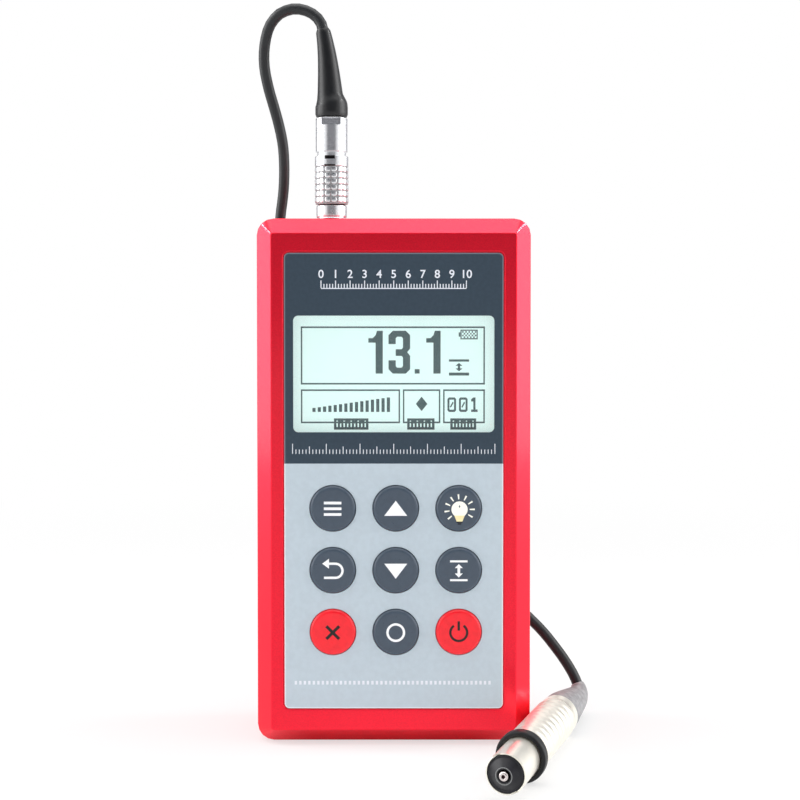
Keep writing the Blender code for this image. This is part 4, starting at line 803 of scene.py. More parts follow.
def red_anodised():
    """Blasted aluminium under a red anodic layer: a fine sparkle and faint clouds."""
    red = tuple(colours().housing)
    finish = Finish(
        "red_anodised", red, 0.4, 0.85, specular_ior_level=0.2, coat_weight=0.3, coat_roughness=0.12
    )
    grain = finish.noise(size=0.00022, detail=3.0)
    cloud = finish.noise(size=0.018)
    speckled = finish.mottle(red, size=0.00035, spread=0.07, detail=3.0)
    clouded = finish.mixed(finish.between(cloud, 0.35, 0.7) * 0.1, speckled, srgb(250, 44, 60))
    finish.set("Base Color", clouded)
    finish.set("Roughness", 0.27 + 0.12 * grain)
    finish.bump(grain, depth=0.00003, strength=0.35)
    return finish.material


def outline_depth(point):
    """How far a point lies inside the housing's outline, seen from the front."""
    half_w = (SHELL_HIGH.x - SHELL_LOW.x) / 2
    half_h = TOP_Z / 2
    beyond_x = abs(point.x) - (half_w - OUTLINE_R)
    beyond_z = abs(point.z - half_h) - (half_h - OUTLINE_R)
    if beyond_x > 0 and beyond_z > 0:
        return OUTLINE_R - math.hypot(beyond_x, beyond_z)
    return OUTLINE_R - max(beyond_x, beyond_z)


def on_outer_skin(edge):
    """Whether an edge lies in the housing's outline."""
    return all(outline_depth(vert.co) < OUTLINE_SKIN for vert in edge.verts)


def on_face(edge, face_y):
    """Whether an edge lies in the face at this depth."""
    return all(abs(vert.co.y - face_y) < FACE_SKIN for vert in edge.verts)


def rounded_copy(node, face_y, outline_too, size):
    """A node's mesh with its triangles joined to faces, and the sharp edges of one face rounded."""
    bm = bmesh.new()
    bm.from_mesh(frame["nodes"][node].data)
    bmesh.ops.remove_doubles(bm, verts=bm.verts, dist=WELD)
    bmesh.ops.dissolve_limit(
        bm,
        angle_limit=JOIN_ANGLE,
        verts=bm.verts,
        edges=bm.edges,
        use_dissolve_boundaries=False,
    )
    edges = [
        edge
        for edge in bm.edges
        if edge.is_manifold
        and edge.calc_face_angle() > EDGE_ANGLE
        and (on_face(edge, face_y) or outline_too and on_outer_skin(edge))
    ]
    round_edges(bm, edges, size, 3)
    return bm


def screw_shape(head_r, head_t, length, shank_r, countersunk):
    """A screw that stands on local Z with the top of its head at the origin."""
    under = [(shank_r, -head_t)] if countersunk else [(head_r, -head_t), (shank_r, -head_t)]
    profile = [(0, 0), (head_r, 0), *under, (shank_r, -length), (0, -length)]
    bm = turned(softened(profile, SCREW_EDGE / 4 if countersunk else SCREW_EDGE), SMALL_SIDES)
    depth = min(SCREW_HEX_DEPTH, head_t * SCREW_HEX_REACH)
    return cut(bm, rod(6, head_r * 2 * SCREW_HEX_SHARE, depth * 2))


def add_screws():
    """Adds the case screws and the battery cover's screws."""
    steel = turned_metal("screw_steel", srgb(120, 120, 122), 0.3, Vector((0, 1, 0)), streak=0.1)
    turn = Matrix.Rotation(-math.pi / 2, 4, "X")
    for kind, count, shank_r, head_t, countersunk in SCREWS:
        for number in range(1, count + 1):
            node = f"{kind}_{number}"
            low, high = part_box(node)
            at = Matrix.Translation(((low.x + high.x) / 2, high.y, (low.z + high.z) / 2))
            head_r = (high.z - low.z) / 2
            shape = screw_shape(head_r, head_t, high.y - low.y, shank_r, countersunk)
            add_piece(f"steel_{node}", shape, steel, "housing", [node], at @ turn)


class GAUGE_OT_housing(Operator):
    """Add the two red shells, the battery cover and their screws"""

    bl_idname = "gauge.add_housing"
    bl_label = "Housing"

    def execute(self, context):
        red = red_anodised()
        edge = sizes().shell_edge
        for node, face_y, outline_too, size in (
            ("front_shell", FRONT_Y, True, edge),
            ("rear_shell", REAR_Y, True, edge),
            ("battery_cover", COVER_Y, False, edge / 2),
        ):
            shape = rounded_copy(node, face_y, outline_too, size)
            add_piece(f"red_{node}", shape, red, "housing", [node])
        add_screws()
        return {"FINISHED"}


# Printed panel

PANEL_R = 0.0015
WINDOW_LAP = 0.0009
WINDOW_R = 0.0015
PANEL_EDGE = 0.0001
# How far inside the film's outline its pale edge, a painted highlight along the clear cut edge,
# starts and is full
EDGE_FADE = (-0.0005, -0.0002)
KEY_HOLE_GAP = 0.0001
SPLIT_Z = 0.0841
TITLE_Z = 0.1362
TITLE_W = 0.0430
TITLE_DIVISIONS = 10
MINOR_TICKS = 5
TITLE_TICK = (0.0022, 0.0012)
TITLE_LINE = 0.00028
TITLE_NUMBER = 0.0034
NUMBER_RISE = 0.0040
NUMBER_WEIGHT = 0.012
TICK_GAP = 0.00001
SUBTITLE_Z = 0.0870
SUBTITLE_W = 0.0600
SUBTITLE_TICKS = 60
SUBTITLE_TICK = (0.0030, 0.0022, 0.0013)
SUBTITLE_LINE = 0.00022
FOOTER_Z = 0.0187
FOOTER_W = 0.0590
FOOTER_MARKS = 44
FOOTER_MARK = (0.0007, 0.0011)


def rounded_box_distance(finish, across, up, half_width, half_height, corner):
    """How far a point of the face lies outside a rounded rectangle."""
    beyond_x = finish.maths("MAXIMUM", abs(across) - (half_width - corner), 0)
    beyond_z = finish.maths("MAXIMUM", abs(up) - (half_height - corner), 0)
    return (beyond_x * beyond_x + beyond_z * beyond_z) ** 0.5 - corner


def panel_film():
    """Printed film: slate above, pale below, a painted highlight along its clear cut edge and a
    fine velvet grain.
    """
    finish = Finish("panel_print", colours().pale, 0.42, specular_ior_level=0.2)
    x, _, z = finish.axes()
    slate = finish.mottle(tuple(colours().slate), size=0.0011, spread=0.05, detail=4.0)
    pale = finish.mottle(tuple(colours().pale), size=0.0016, spread=0.025, detail=4.0)
    upper = z > SPLIT_Z
    middle = (PANEL_LOW + PANEL_HIGH) / 2
    half = (PANEL_HIGH - PANEL_LOW) / 2
    rim = rounded_box_distance(finish, x, z - middle.z, half.x, half.z, PANEL_R)
    edge = finish.between(rim, *EDGE_FADE)
    # Painted highlight: paler along the film's clear cut edge
    edge_highlight = finish.mixed(upper, srgb(222, 228, 232), srgb(112, 120, 130))
    finish.set("Base Color", finish.mixed(edge, finish.mixed(upper, pale, slate), edge_highlight))
    grain = finish.noise(size=0.0002)
    finish.set("Roughness", 0.36 + 0.14 * grain)
    finish.bump(grain, depth=0.00002, strength=0.3)
    return finish.material


def soften_front(bm, front, size):
    """Rounds the edges of a plate's front face."""
    edges = [
        edge
        for edge in bm.edges
        if edge.is_manifold and edge.calc_face_angle() > SHARP and on_face(edge, front)
    ]
    round_edges(bm, edges, size, 2)


def title_scale():
    """A numbered measuring scale."""
    ticks = TITLE_DIVISIONS * MINOR_TICKS
    long, short = TITLE_TICK
    half = TITLE_LINE / 2
    bars = [bar(-TITLE_W / 2, TITLE_Z - TITLE_LINE, TITLE_W / 2, TITLE_Z)]
    for tick in range(ticks + 1):
        x = -TITLE_W / 2 + TITLE_W * tick / ticks
        top = TITLE_Z + (short if tick % MINOR_TICKS else long)
        bars.append(bar(x - half, TITLE_Z + TICK_GAP, x + half, top))
    return bars


def subtitle_scale():
    """A fine ruler of plain ticks."""
    long, middling, short = SUBTITLE_TICK
    half = SUBTITLE_LINE / 2
    bars = []
    for tick in range(SUBTITLE_TICKS + 1):
        x = -SUBTITLE_W / 2 + SUBTITLE_W * tick / SUBTITLE_TICKS
        tall = short if tick % 5 else middling if tick % 10 else long
        bars.append(bar(x - half, SUBTITLE_Z, x + half, SUBTITLE_Z + tall))
    return bars


def footer_marks():
    """A row of small plain marks."""
    wide, tall = FOOTER_MARK
    marks = []
    for mark in range(FOOTER_MARKS):
        x = -FOOTER_W / 2 + FOOTER_W * mark / FOOTER_MARKS
        marks.append(bar(x, FOOTER_Z - tall / 2, x + wide, FOOTER_Z + tall / 2))
    return marks


def key_place(function):
    """The middle of a key's cap, on its front."""
    low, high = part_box(f"key_{function}")
    return Vector(((low.x + high.x) / 2, low.y, (low.z + high.z) / 2))


def key_radius():
    """The radius of a key's cap."""
    low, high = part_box("key_menu")
    return (high.x - low.x) / 2 - KEY_FLANGE


class GAUGE_OT_front_panel(Operator):
    """Add the printed panel and its scales"""

    bl_idname = "gauge.add_front_panel"
    bl_label = "Front panel"

    def execute(self, context):
        size = PANEL_HIGH - PANEL_LOW
        middle = (PANEL_HIGH + PANEL_LOW) / 2
        window = PANE_HIGH - PANE_LOW - Vector((2, 2, 2)) * WINDOW_LAP
        window_middle = (PANE_HIGH + PANE_LOW) / 2
        outlines = [
            rounded_outline(size.x, size.z, PANEL_R, middle.xz),
            rounded_outline(window.x, window.z, WINDOW_R, window_middle.xz),
        ]
        for function in KEY_FUNCTIONS:
            hole_r = key_radius() + KEY_HOLE_GAP
            outlines.append(circle_outline(hole_r, key_place(function).xz))
        film = flat_shape(outlines, PANEL_LOW.y, size.y)
        soften_front(film, PANEL_LOW.y, PANEL_EDGE)
        add_piece("printed_panel", film, panel_film(), "housing", ["front_panel"])

        printed = (PANEL_LOW.y - PRINT_T, PRINT_T * 2)
        marks = title_scale() + subtitle_scale() + footer_marks()
        shapes = [flat_shape([outline], *printed) for outline in marks]
        for number in range(TITLE_DIVISIONS + 1):
            x = -TITLE_W / 2 + TITLE_W * number / TITLE_DIVISIONS
            at = (x, TITLE_Z + NUMBER_RISE)
            shapes.append(number_shape(str(number), TITLE_NUMBER, at, *printed))
        ink = satin("white_ink", colours().white_print, roughness=0.5, spread=0.03)
        add_piece("panel_scales", joined(*shapes), ink, "housing")
        return {"FINISHED"}


# Display, drawn in dots from its upper left corner

GLOW = 0.72  # strength of the display's backlight glow, turned up as painted light so that the shade of the window's recess hardly shows
UNLIT_SHADE = 0.55  # how dark its face would be without that light
DOT_GAP = 0.06  # from the line between two dots, in dots
GRID_STRENGTH = 0.05
DOT_W = 0.00043
DOT_H = 0.000483
DOT_COLUMNS = 128
DOT_ROWS = 64
DOTS_X = -0.0278
DOTS_Z = 0.12472
DOTS_WIDE = DOT_COLUMNS * DOT_W
DOTS_TALL = DOT_ROWS * DOT_H
# Left, top, right and bottom, in dots
READING_FRAME = (0, 0, 128, 36)
LOWER_FRAMES = ((0, 39, 69, 60), (71, 39, 97, 60), (99, 39, 128, 60))
READING_ROW = 2.7
READING_TALL = 0.914
TALL_ONE = ((6, 0), (10, 0), (10, 29), (5, 29), (5, 8), (0, 8), (0, 5), (3, 5), (5, 3))
TALL_THREE = (
    (3, 0), (12, 0), (15, 3), (15, 12), (13, 14.5), (15, 17), (15, 26), (12, 29), (3, 29), (0, 26),
    (0, 20), (5, 20), (5, 24), (6, 25), (9, 25), (10, 24), (10, 18), (9, 17), (5, 17), (5, 12.5),
    (9, 12.5), (10, 11.5), (10, 5), (9, 4), (6, 4), (5, 5), (5, 9), (0, 9), (0, 3),
)
POINT = ((0, 26), (3.4, 26), (3.4, 29), (0, 29))
READING = ((TALL_ONE, 47), (TALL_THREE, 61), (POINT, 79.2), (TALL_ONE, 87.2))
SMALL_ONE = (
    (2, 0), (3.5, 0), (3.5, 7.5), (5, 7.5), (5, 9), (0.5, 9),
    (0.5, 7.5), (2, 7.5), (2, 2.5), (0.5, 2.5), (0.5, 1.2),
)
ZERO_OUTER = ((1, 0), (5, 0), (6, 1), (6, 8), (5, 9), (1, 9), (0, 8), (0, 1))
ZERO_INNER = (
    (1.6, 1.4), (4.4, 1.4), (4.6, 1.6), (4.6, 7.4), (4.4, 7.6), (1.6, 7.6), (1.4, 7.4), (1.4, 1.6)
)
ZERO_BAR = ((3.6, 2.6), (4.3, 3.2), (2.4, 6.4), (1.7, 5.8))
COUNT_ROW = 44
ZERO_COLUMNS = (102, 110)
ONE_COLUMN = 118
METER_X = 8
METER_PITCH = 3.7
METER_BAR = 2.2
METER_BARS = 15
METER_BASE = 53
METER_TALL = 9
METER_FIRST = 2
BATTERY_CASE = (111, 2, 123, 8)
BATTERY_ROOM = (111.8, 2.7, 122.2, 7.3)
BATTERY_NUB = (109.8, 3.7, 110.9, 6.3)
CHECK_X, CHECK_TOP, CHECK_PITCH = 112.2, 2.9, 1.1
CHECK_ROWS, CHECK_COLUMNS = 4, 9
LAYERS = ((103, 20.4, 117, 21.8), (103, 28.6, 117, 30.4))
LAYER_ARROW = (
    (0, 0), (2.4, 1.8), (0.8, 1.8), (0.8, 3.4), (2.4, 3.4),
    (0, 5.2), (-2.4, 3.4), (-0.8, 3.4), (-0.8, 1.8), (-2.4, 1.8),
)
ARROW_AT = (110, 22.6)
DIAMOND = ((84, 43.5), (88, 48), (84, 52.5), (80, 48))
TABS = (
    # left, right, how many marks
    (23, 47, 9),
    (74, 93, 7),
    (104, 122, 7),
)
TAB_TOP, TAB_END = 57, 64
TAB_MARK_TOPS = (58.4, 60.2)
TAB_MARK_END = 62.4
TAB_MARK_SHARE = 0.4


def lit_display():
    """The display's face: pale mint, with the faint grid of its unlit dots. Its backlight glow is
    made strong enough to lift the shade of the window's recess, which is painted light.
    """
    tint = tuple(colours().display)
    # Partly painted light: the glow is the backlight, and also lifts the shade that the window's
    # recess casts
    finish = Finish("lit_display", tint, 0.3, emission_color=(*tint, 1), emission_strength=GLOW)
    x, _, z = finish.axes()
    gap_x = finish.maths("PINGPONG", x / DOT_W, 0.5) < DOT_GAP
    gap_z = finish.maths("PINGPONG", z / DOT_H, 0.5) < DOT_GAP
    inside_x = abs(x - (DOTS_X + DOTS_WIDE / 2)) < DOTS_WIDE / 2
    inside_z = abs(z - (DOTS_Z - DOTS_TALL / 2)) < DOTS_TALL / 2
    grid = finish.maths("MAXIMUM", gap_x, gap_z) * inside_x * inside_z * GRID_STRENGTH
    cloudy = finish.mottle(shaded(tint, UNLIT_SHADE), size=0.02, spread=0.015)
    finish.set("Base Color", finish.mixed(grid, cloudy, srgb(104, 122, 122)))
    return finish.material


def clear_pane():
    """Clear plastic that hardly shows."""
    finish = Finish("clear_pane", srgb(240, 250, 248), 0.03, alpha=0.03)
    finish.set("Roughness", 0.02 + 0.03 * finish.noise(size=0.01))
    finish.material.surface_render_method = "BLENDED"
    return finish.material


def in_dots(points):
    """Points given in columns and rows, in metres."""
    return [(DOTS_X + column * DOT_W, DOTS_Z - row * DOT_H) for column, row in points]


def box_frame(left, top, right, bottom):
    """A frame one dot wide."""
    return [bar(left, top, right, bottom), bar(left + 1, top + 1, right - 1, bottom - 1)]


def shifted(points, column, row):
    """Points moved by columns and rows."""
    return [(x + column, y + row) for x, y in points]


def reading_digits():
    """The large numbers and their point."""
    return [
        [(x + column, READING_ROW + y * READING_TALL) for x, y in shape]
        for shape, column in READING
    ]


def level_meter():
    """Rising bars in the wide box."""
    bars = []
    for step in range(METER_BARS):
        left = METER_X + step * METER_PITCH
        tall = METER_FIRST + (METER_TALL - METER_FIRST) * (step + 1) / METER_BARS
        bars.append(bar(left, METER_BASE - tall, left + METER_BAR, METER_BASE))
    return bars


def battery_checks():
    """A checkered filling for the battery's sign."""
    checks = []
    for row in range(CHECK_ROWS):
        for column in range(row % 2, CHECK_COLUMNS, 2):
            left, top = CHECK_X + column * CHECK_PITCH, CHECK_TOP + row * CHECK_PITCH
            checks.append(bar(left, top, left + 1, top + 1))
    return checks


def label_tabs():
    """The dark tabs under the boxes, each with plain light marks."""
    tabs = []
    for left, right, marks in TABS:
        tabs.append(bar(left, TAB_TOP, right, TAB_END))
        pitch = (right - left - 2) / marks
        for mark in range(marks):
            x = left + 1 + pitch * (mark + (1 - TAB_MARK_SHARE) / 2)
            tabs.append(bar(x, TAB_MARK_TOPS[mark % 2], x + pitch * TAB_MARK_SHARE, TAB_MARK_END))
    return tabs


class GAUGE_OT_display(Operator):
    """Add the display's drawing and finish its glass, frame and pane"""

    bl_idname = "gauge.add_display"
    bl_label = "Display"

    def execute(self, context):
        groups = [box_frame(*READING_FRAME)] + [box_frame(*place) for place in LOWER_FRAMES]
        groups.append([bar(*BATTERY_CASE), bar(*BATTERY_ROOM)])
        signs = [bar(*BATTERY_NUB), *battery_checks()]
        for column in ZERO_COLUMNS:
            groups.append([shifted(ring, column, COUNT_ROW) for ring in (ZERO_OUTER, ZERO_INNER)])
            signs.append(shifted(ZERO_BAR, column, COUNT_ROW))
        signs.append(shifted(SMALL_ONE, ONE_COLUMN, COUNT_ROW))
        signs += [bar(*layer) for layer in LAYERS]
        signs += [shifted(LAYER_ARROW, *ARROW_AT), *level_meter(), DIAMOND, *reading_digits()]
        groups += [[sign] for sign in signs]
        front = GLASS_Y - PRINT_T
        shapes = [flat_shape(map(in_dots, group), front, PRINT_T * 2) for group in groups]
        shapes.append(flat_shape(map(in_dots, label_tabs()), front - PRINT_T, PRINT_T * 3))
        ink = satin("display_dots", colours().dots, roughness=0.4, spread=0.04)
        add_piece("display_drawing", joined(*shapes), ink, "housing")
        dress(lit_display(), "lcd_glass")
        dress(clear_pane(), "display_window")
        dress(satin("display_frame", srgb(150, 156, 160), roughness=0.5), "lcd_frame")
        dress(satin("backlight_diffuser", srgb(236, 240, 240), roughness=0.5), "lcd_backlight")
        return {"FINISHED"}


# Keys, with their signs drawn round the middle of each cap

KEY_FLANGE_T = 0.0008
KEY_SEAT = 0.0031
KEY_STEM_R = 0.00175
KEY_ROUND = 0.8
KEY_SIDES = 72
SIGN_T = 0.00004
STROKE = 0.0007
LIMIT_ARROW = (
    (0, 0.0020), (0.0012, 0.0008), (0.0004, 0.0008), (0.0004, -0.0008), (0.0012, -0.0008),
    (0, -0.0020), (-0.0012, -0.0008), (-0.0004, -0.0008), (-0.0004, 0.0008), (-0.0012, 0.0008),
)
LAMP_X, LAMP_Z = 0.0002, -0.0002
GLOBE_R = 0.0024
GLOBE_OPEN = math.radians(50)
NECK_HALF_W = 0.00085
NECK_END = -0.0036
SOCKET_END = -0.0045
RAYS = 9
RAY_FIRST, RAY_SPAN = math.radians(-31), math.radians(251)
RAY = ((0.0030, -0.00016), (0.0045, -0.00026), (0.0045, 0.00026), (0.0030, 0.00016))


def key_slot(function):
    """Which of the two key colours a key takes."""
    return "red_key" if function in RED_KEYS else "slate_key"


def key_shape(function):
    """A key's cap, flange and stem, with the middle of the cap at the origin."""
    low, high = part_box(f"key_{function}")
    radius = key_radius()
    rim = sizes().key_edge
    flange = low.y - (FRONT_Y + KEY_SEAT)
    stem_end = low.y - high.y
    profile = [
        (0, 0),
        (radius - rim, 0),
        (radius, -sizes().key_proud),
        (radius, flange),
        (radius + KEY_FLANGE, flange),
        (radius + KEY_FLANGE, flange - KEY_FLANGE_T),
        (KEY_STEM_R, flange - KEY_FLANGE_T),
        (KEY_STEM_R, stem_end),
        (0, stem_end),
    ]
    return turned(softened(profile, rim * KEY_ROUND, 5), KEY_SIDES)


def menu_sign():
    """Three lines."""
    return [bar(-0.0026, z - 0.0004, 0.0026, z + 0.0004) for z in (-0.0017, 0, 0.0017)]


def arrow_sign(way):
    """A triangle that points up or down."""
    return [[(0, way * 0.0024), (0.0034, -way * 0.0021), (-0.0034, -way * 0.0021)]]


def ring_part(radius, start, end, centre=(0, 0), steps=32):
    """An arc as wide as a stroke, from one angle to another."""
    outer = arc(radius + STROKE / 2, start, end, steps, centre)
    inner = arc(radius - STROKE / 2, start, end, steps, centre)
    return outer + inner[::-1]


def quit_sign():
    """An arrow that turns back."""
    hook = ring_part(0.0021, -math.pi / 2, math.pi / 2, (0.0008, 0))
    top = bar(-0.0012, 0.00175, 0.0008, 0.00245)
    base = bar(-0.0026, -0.00245, 0.0008, -0.00175)
    head = [(-0.0031, 0.0021), (-0.0011, 0.0036), (-0.0011, 0.0006)]
    return [hook, top, base, head]


def limit_sign():
    """Two limits with an arrow between them."""
    high = bar(-0.0026, 0.0025, 0.0026, 0.0031)
    low = bar(-0.0026, -0.0031, 0.0026, -0.0025)
    return [high, low, LIMIT_ARROW]


def delete_sign():
    """A cross."""
    long, short = 0.0027, 0.00045
    cross = []
    for quarter in range(4):
        turn = Matrix.Rotation(math.pi / 4 + quarter * math.pi / 2, 2)
        for point in ((long, -short), (long, short), (short, short)):
            cross.append(tuple(turn @ Vector(point)))
    return [cross]


def clear_sign():
    """A ring with nothing in it."""
    return [circle_outline(0.0028), circle_outline(0.0021)]


def power_sign():
    """A broken ring and a stroke."""
    ring = ring_part(0.0025, math.radians(125), math.radians(415))
    return [ring, bar(-STROKE / 2, 0.0006, STROKE / 2, 0.0034)]


def at_lamp(points):
    """Points of the light key's sign, moved to its middle."""
    return [(x + LAMP_X, z + LAMP_Z) for x, z in points]


def light_rays():
    """Short rays round a bulb."""
    rays = []
    for step in range(RAYS):
        turn = Matrix.Rotation(RAY_FIRST + RAY_SPAN * step / (RAYS - 1), 2)
        rays.append(at_lamp(turn @ Vector(point) for point in RAY))
    return rays


def light_globe():
    """A bulb's globe, with a hole for its filament."""
    outline = arc(GLOBE_R, -GLOBE_OPEN, math.pi + GLOBE_OPEN, 40)
    filament = [(0, 0.0004), (0.00024, 0.0009), (0, 0.0013), (-0.00024, 0.0009)]
    return [at_lamp(outline), at_lamp(filament)]


def light_neck():
    """The bulb's neck, from the chord that closes its globe."""
    wide, top = GLOBE_R * math.cos(GLOBE_OPEN), -GLOBE_R * math.sin(GLOBE_OPEN)
    bottom = [(-NECK_HALF_W, NECK_END), (NECK_HALF_W, NECK_END)]
    return [at_lamp([(wide, top), (-wide, top), *bottom])]


def light_socket():
    """The bulb's screw cap and its tip."""
    half_w = NECK_HALF_W
    cap = bar(-half_w, NECK_END - 0.0004, half_w, NECK_END)
    tip = bar(-half_w * 0.6, SOCKET_END, half_w * 0.6, NECK_END - 0.0005)
    return [at_lamp(cap), at_lamp(tip)]


def add_key_print(function, label, outlines, material, as_one=False):
    """Prints flat shapes on the cap of a key. As one, an inner outline is a hole."""
    at = key_place(function)
    groups = [outlines] if as_one else [[outline] for outline in outlines]
    shapes = [flat_shape(group, at.y - SIGN_T / 2, SIGN_T) for group in groups]
    name = f"{label}_on_{function}_key"
    place = Matrix.Translation((at.x, 0, at.z))
    add_piece(name, joined(*shapes), material, f"{function}_key", place=place)


class GAUGE_OT_keys(Operator):
    """Add the nine keys with their signs"""

    bl_idname = "gauge.add_keys"
    bl_label = "Keys"

    def execute(self, context):
        caps = {
            "slate_key": satin("slate_key", colours().key, roughness=0.3, spread=0.05),
            "red_key": satin("red_key", colours().red_key, roughness=0.3, spread=0.05),
        }
        white = satin("white_sign", srgb(244, 246, 248), roughness=0.5, spread=0.02)
        black = satin("black_sign", srgb(14, 10, 12), roughness=0.5, spread=0.02)
        glow = satin("glowing_sign", srgb(252, 252, 240), roughness=0.5, spread=0.02)
        warm = satin("warm_sign", srgb(246, 232, 178), roughness=0.5, spread=0.03)
        for function in KEY_FUNCTIONS:
            node, body, slot = f"key_{function}", f"{function}_key", key_slot(function)
            place = Matrix.Translation(key_place(function)) @ FACING_FRONT
            shape = key_shape(function)
            add_piece(f"{function}_cap", shape, caps[slot], body, [node], place)
        add_key_print("menu", "lines", menu_sign(), white)
        add_key_print("up", "arrow", arrow_sign(1), white)
        add_key_print("down", "arrow", arrow_sign(-1), white)
        add_key_print("quit", "turn", quit_sign(), white)
        add_key_print("limit", "limits", limit_sign(), white)
        add_key_print("clear", "ring", clear_sign(), white, as_one=True)
        add_key_print("delete", "cross", delete_sign(), black)
        add_key_print("power", "stroke", power_sign(), black)
        add_key_print("light", "rays", light_rays(), glow)
        add_key_print("light", "globe", light_globe(), glow, as_one=True)
        add_key_print("light", "neck", light_neck(), warm)
        add_key_print("light", "socket", light_socket(), black)
        return {"FINISHED"}


# Cord, by points chosen along its run from the plug to the probe

CORD_D = 0.0034
CORD_STEP = 0.0022
CORD_SIDES = 24
CORD_HOLE_R = CORD_D / 2 + 0.00004
CORD_HOLE_DEPTH = 0.0012
CORD_TUCK = 0.0009
CORD_ROUTE = (
    (-0.0219, 0.0000, 0.2158),
    (-0.0223, 0.0001, 0.2173),
    (-0.0232, 0.0003, 0.2187),
    (-0.0250, 0.0006, 0.2203),
    (-0.0276, 0.0010, 0.2215),
    (-0.0305, 0.0016, 0.2220),
    (-0.0334, 0.0023, 0.2215),
    (-0.0361, 0.0032, 0.2201),
    (-0.0388, 0.0047, 0.2167),
    (-0.0403, 0.0065, 0.2112),
    (-0.0405, 0.0083, 0.2053),
    (-0.0394, 0.0100, 0.1990),
    (-0.0380, 0.0115, 0.1938),
    (-0.0365, 0.0131, 0.1880),
    (-0.0354, 0.0147, 0.1820),
    (-0.0351, 0.0162, 0.1760),
    (-0.0353, 0.0176, 0.1698),
    (-0.0358, 0.0186, 0.1650),
    (-0.0366, 0.0191, 0.1590),
    (-0.0370, 0.0189, 0.1500),
    (-0.0360, 0.0184, 0.1370),
    (-0.0325, 0.0180, 0.1215),
    (-0.0255, 0.0178, 0.1060),
    (-0.0155, 0.0178, 0.0905),
    (-0.0035, 0.0178, 0.0760),
    (0.0095, 0.0179, 0.0625),
    (0.0225, 0.0182, 0.0500),
    (0.0340, 0.0188, 0.0390),
    (0.0434, 0.0192, 0.0299),
    (0.0485, 0.0182, 0.0248),
    (0.0533, 0.0170, 0.0188),
    (0.0554, 0.0164, 0.0158),
    (0.0569, 0.0159, 0.0134),
    (0.0578, 0.0154, 0.0117),
    (0.0583, 0.0150, 0.0106),
    (0.0586, 0.0146, 0.0098),
)
# Points made on the smooth curve between two points of the route
ROUTE_PARTS = 8


def cord_hole(end, next_point):
    """What a sleeve leaves open for the end of the cord."""
    along = Vector(next_point) - Vector(end)
    return rod(CORD_SIDES * 2, CORD_HOLE_R, 2 * CORD_HOLE_DEPTH, pointing(end, along))


def smooth_route(route, step):
    """Points at even steps on a smooth curve through the route."""
    knots = [Vector(point) for point in route]
    before = [2 * knots[0] - knots[1]] + knots[:-1]
    after = knots[1:] + [2 * knots[-1] - knots[-2]]
    dense = []
    for index in range(len(knots) - 1):
        start, end = knots[index], knots[index + 1]
        leave = (end - before[index]) / 2
        arrive = (after[index + 1] - start) / 2
        for part in range(ROUTE_PARTS):
            t = part / ROUTE_PARTS
            dense.append(
                start * (2 * t**3 - 3 * t**2 + 1)
                + leave * (t**3 - 2 * t**2 + t)
                + end * (3 * t**2 - 2 * t**3)
                + arrive * (t**3 - t**2)
            )
    dense.append(knots[-1])
    spans = [(b - a).length for a, b in zip(dense, dense[1:])]
    count = round(sum(spans) / step)
    pitch = sum(spans) / count
    points, travelled = [dense[0]], 0.0
    for start, end, span in zip(dense, dense[1:], spans):
        while len(points) < count and len(points) * pitch <= travelled + span:
            points.append(start.lerp(end, (len(points) * pitch - travelled) / span))
        travelled += span
    return [*points, dense[-1]]


def tucked_route():
    """The route with both ends reaching into the sleeves that hold them."""
    first, second = (Vector(point) for point in CORD_ROUTE[:2])
    last_but_one, last = (Vector(point) for point in CORD_ROUTE[-2:])
    start = first + (first - second).normalized() * CORD_TUCK
    end = last + (last - last_but_one).normalized() * CORD_TUCK
    return [tuple(start), *CORD_ROUTE[1:-1], tuple(end)]


class GAUGE_OT_cord(Operator):
    """Add the cord from the probe to the plug"""

    bl_idname = "gauge.add_cord"
    bl_label = "Cord"

    def execute(self, context):
        path = smooth_route(tucked_route(), CORD_STEP)
        sleeve = satin(
            "cord_sleeve",
            colours().cord,
            roughness=0.4,
            spread=0.08,
            size=0.0008,
            depth=0.00003,
            specular_ior_level=0.35,
        )
        shape = tube_shape(path, CORD_D / 2, CORD_SIDES)
        cord = finished_object("black_cord", shape, sleeve, ["cord"], TUBE_SHARP)
        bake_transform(cord)
        length = sum((b - a).length for a, b in zip(path, path[1:]))
        return {"FINISHED"}


# Plug, socket and bend relief

NOZZLE_R = 0.0033
NOZZLE_BORE_R = 0.0027
RING_R = 0.0047
RING_TOP = 0.0045
RING_ROUND = 0.0009
RING_FACET = 0.3
PLUG_EDGE = METAL_EDGE * 1.6
CORE_R = 0.0038
CORE_TOP = 0.0189
THREAD_R = 0.0033
SLEEVE_BORE_R = 0.0041
SLEEVE_WALL_R = 0.00495
SLEEVE_BAND_R = 0.00515
SLEEVE_SKIRT_R = 0.0047
SLEEVE_SKIRT = 0.0016
KNURL_START = 0.0004
KNURL_ROWS = 6
KNURL_PITCH = 0.00185
KNURL_COLUMNS = 16
KNURL_GROOVE = 0.00012
# Painted shade: how dark the grooves between the studs are made
GROOVE_PAINTED_SHADE = 0.35
STUD_FOOT, STUD_FACE = 0.2, 0.85  # heights where a stud turns from the painted shade of the grooves to bright metal
STUD_SIDES = 16
STUD_ROUND = 0.75
DARK_BAR_X = -0.0003
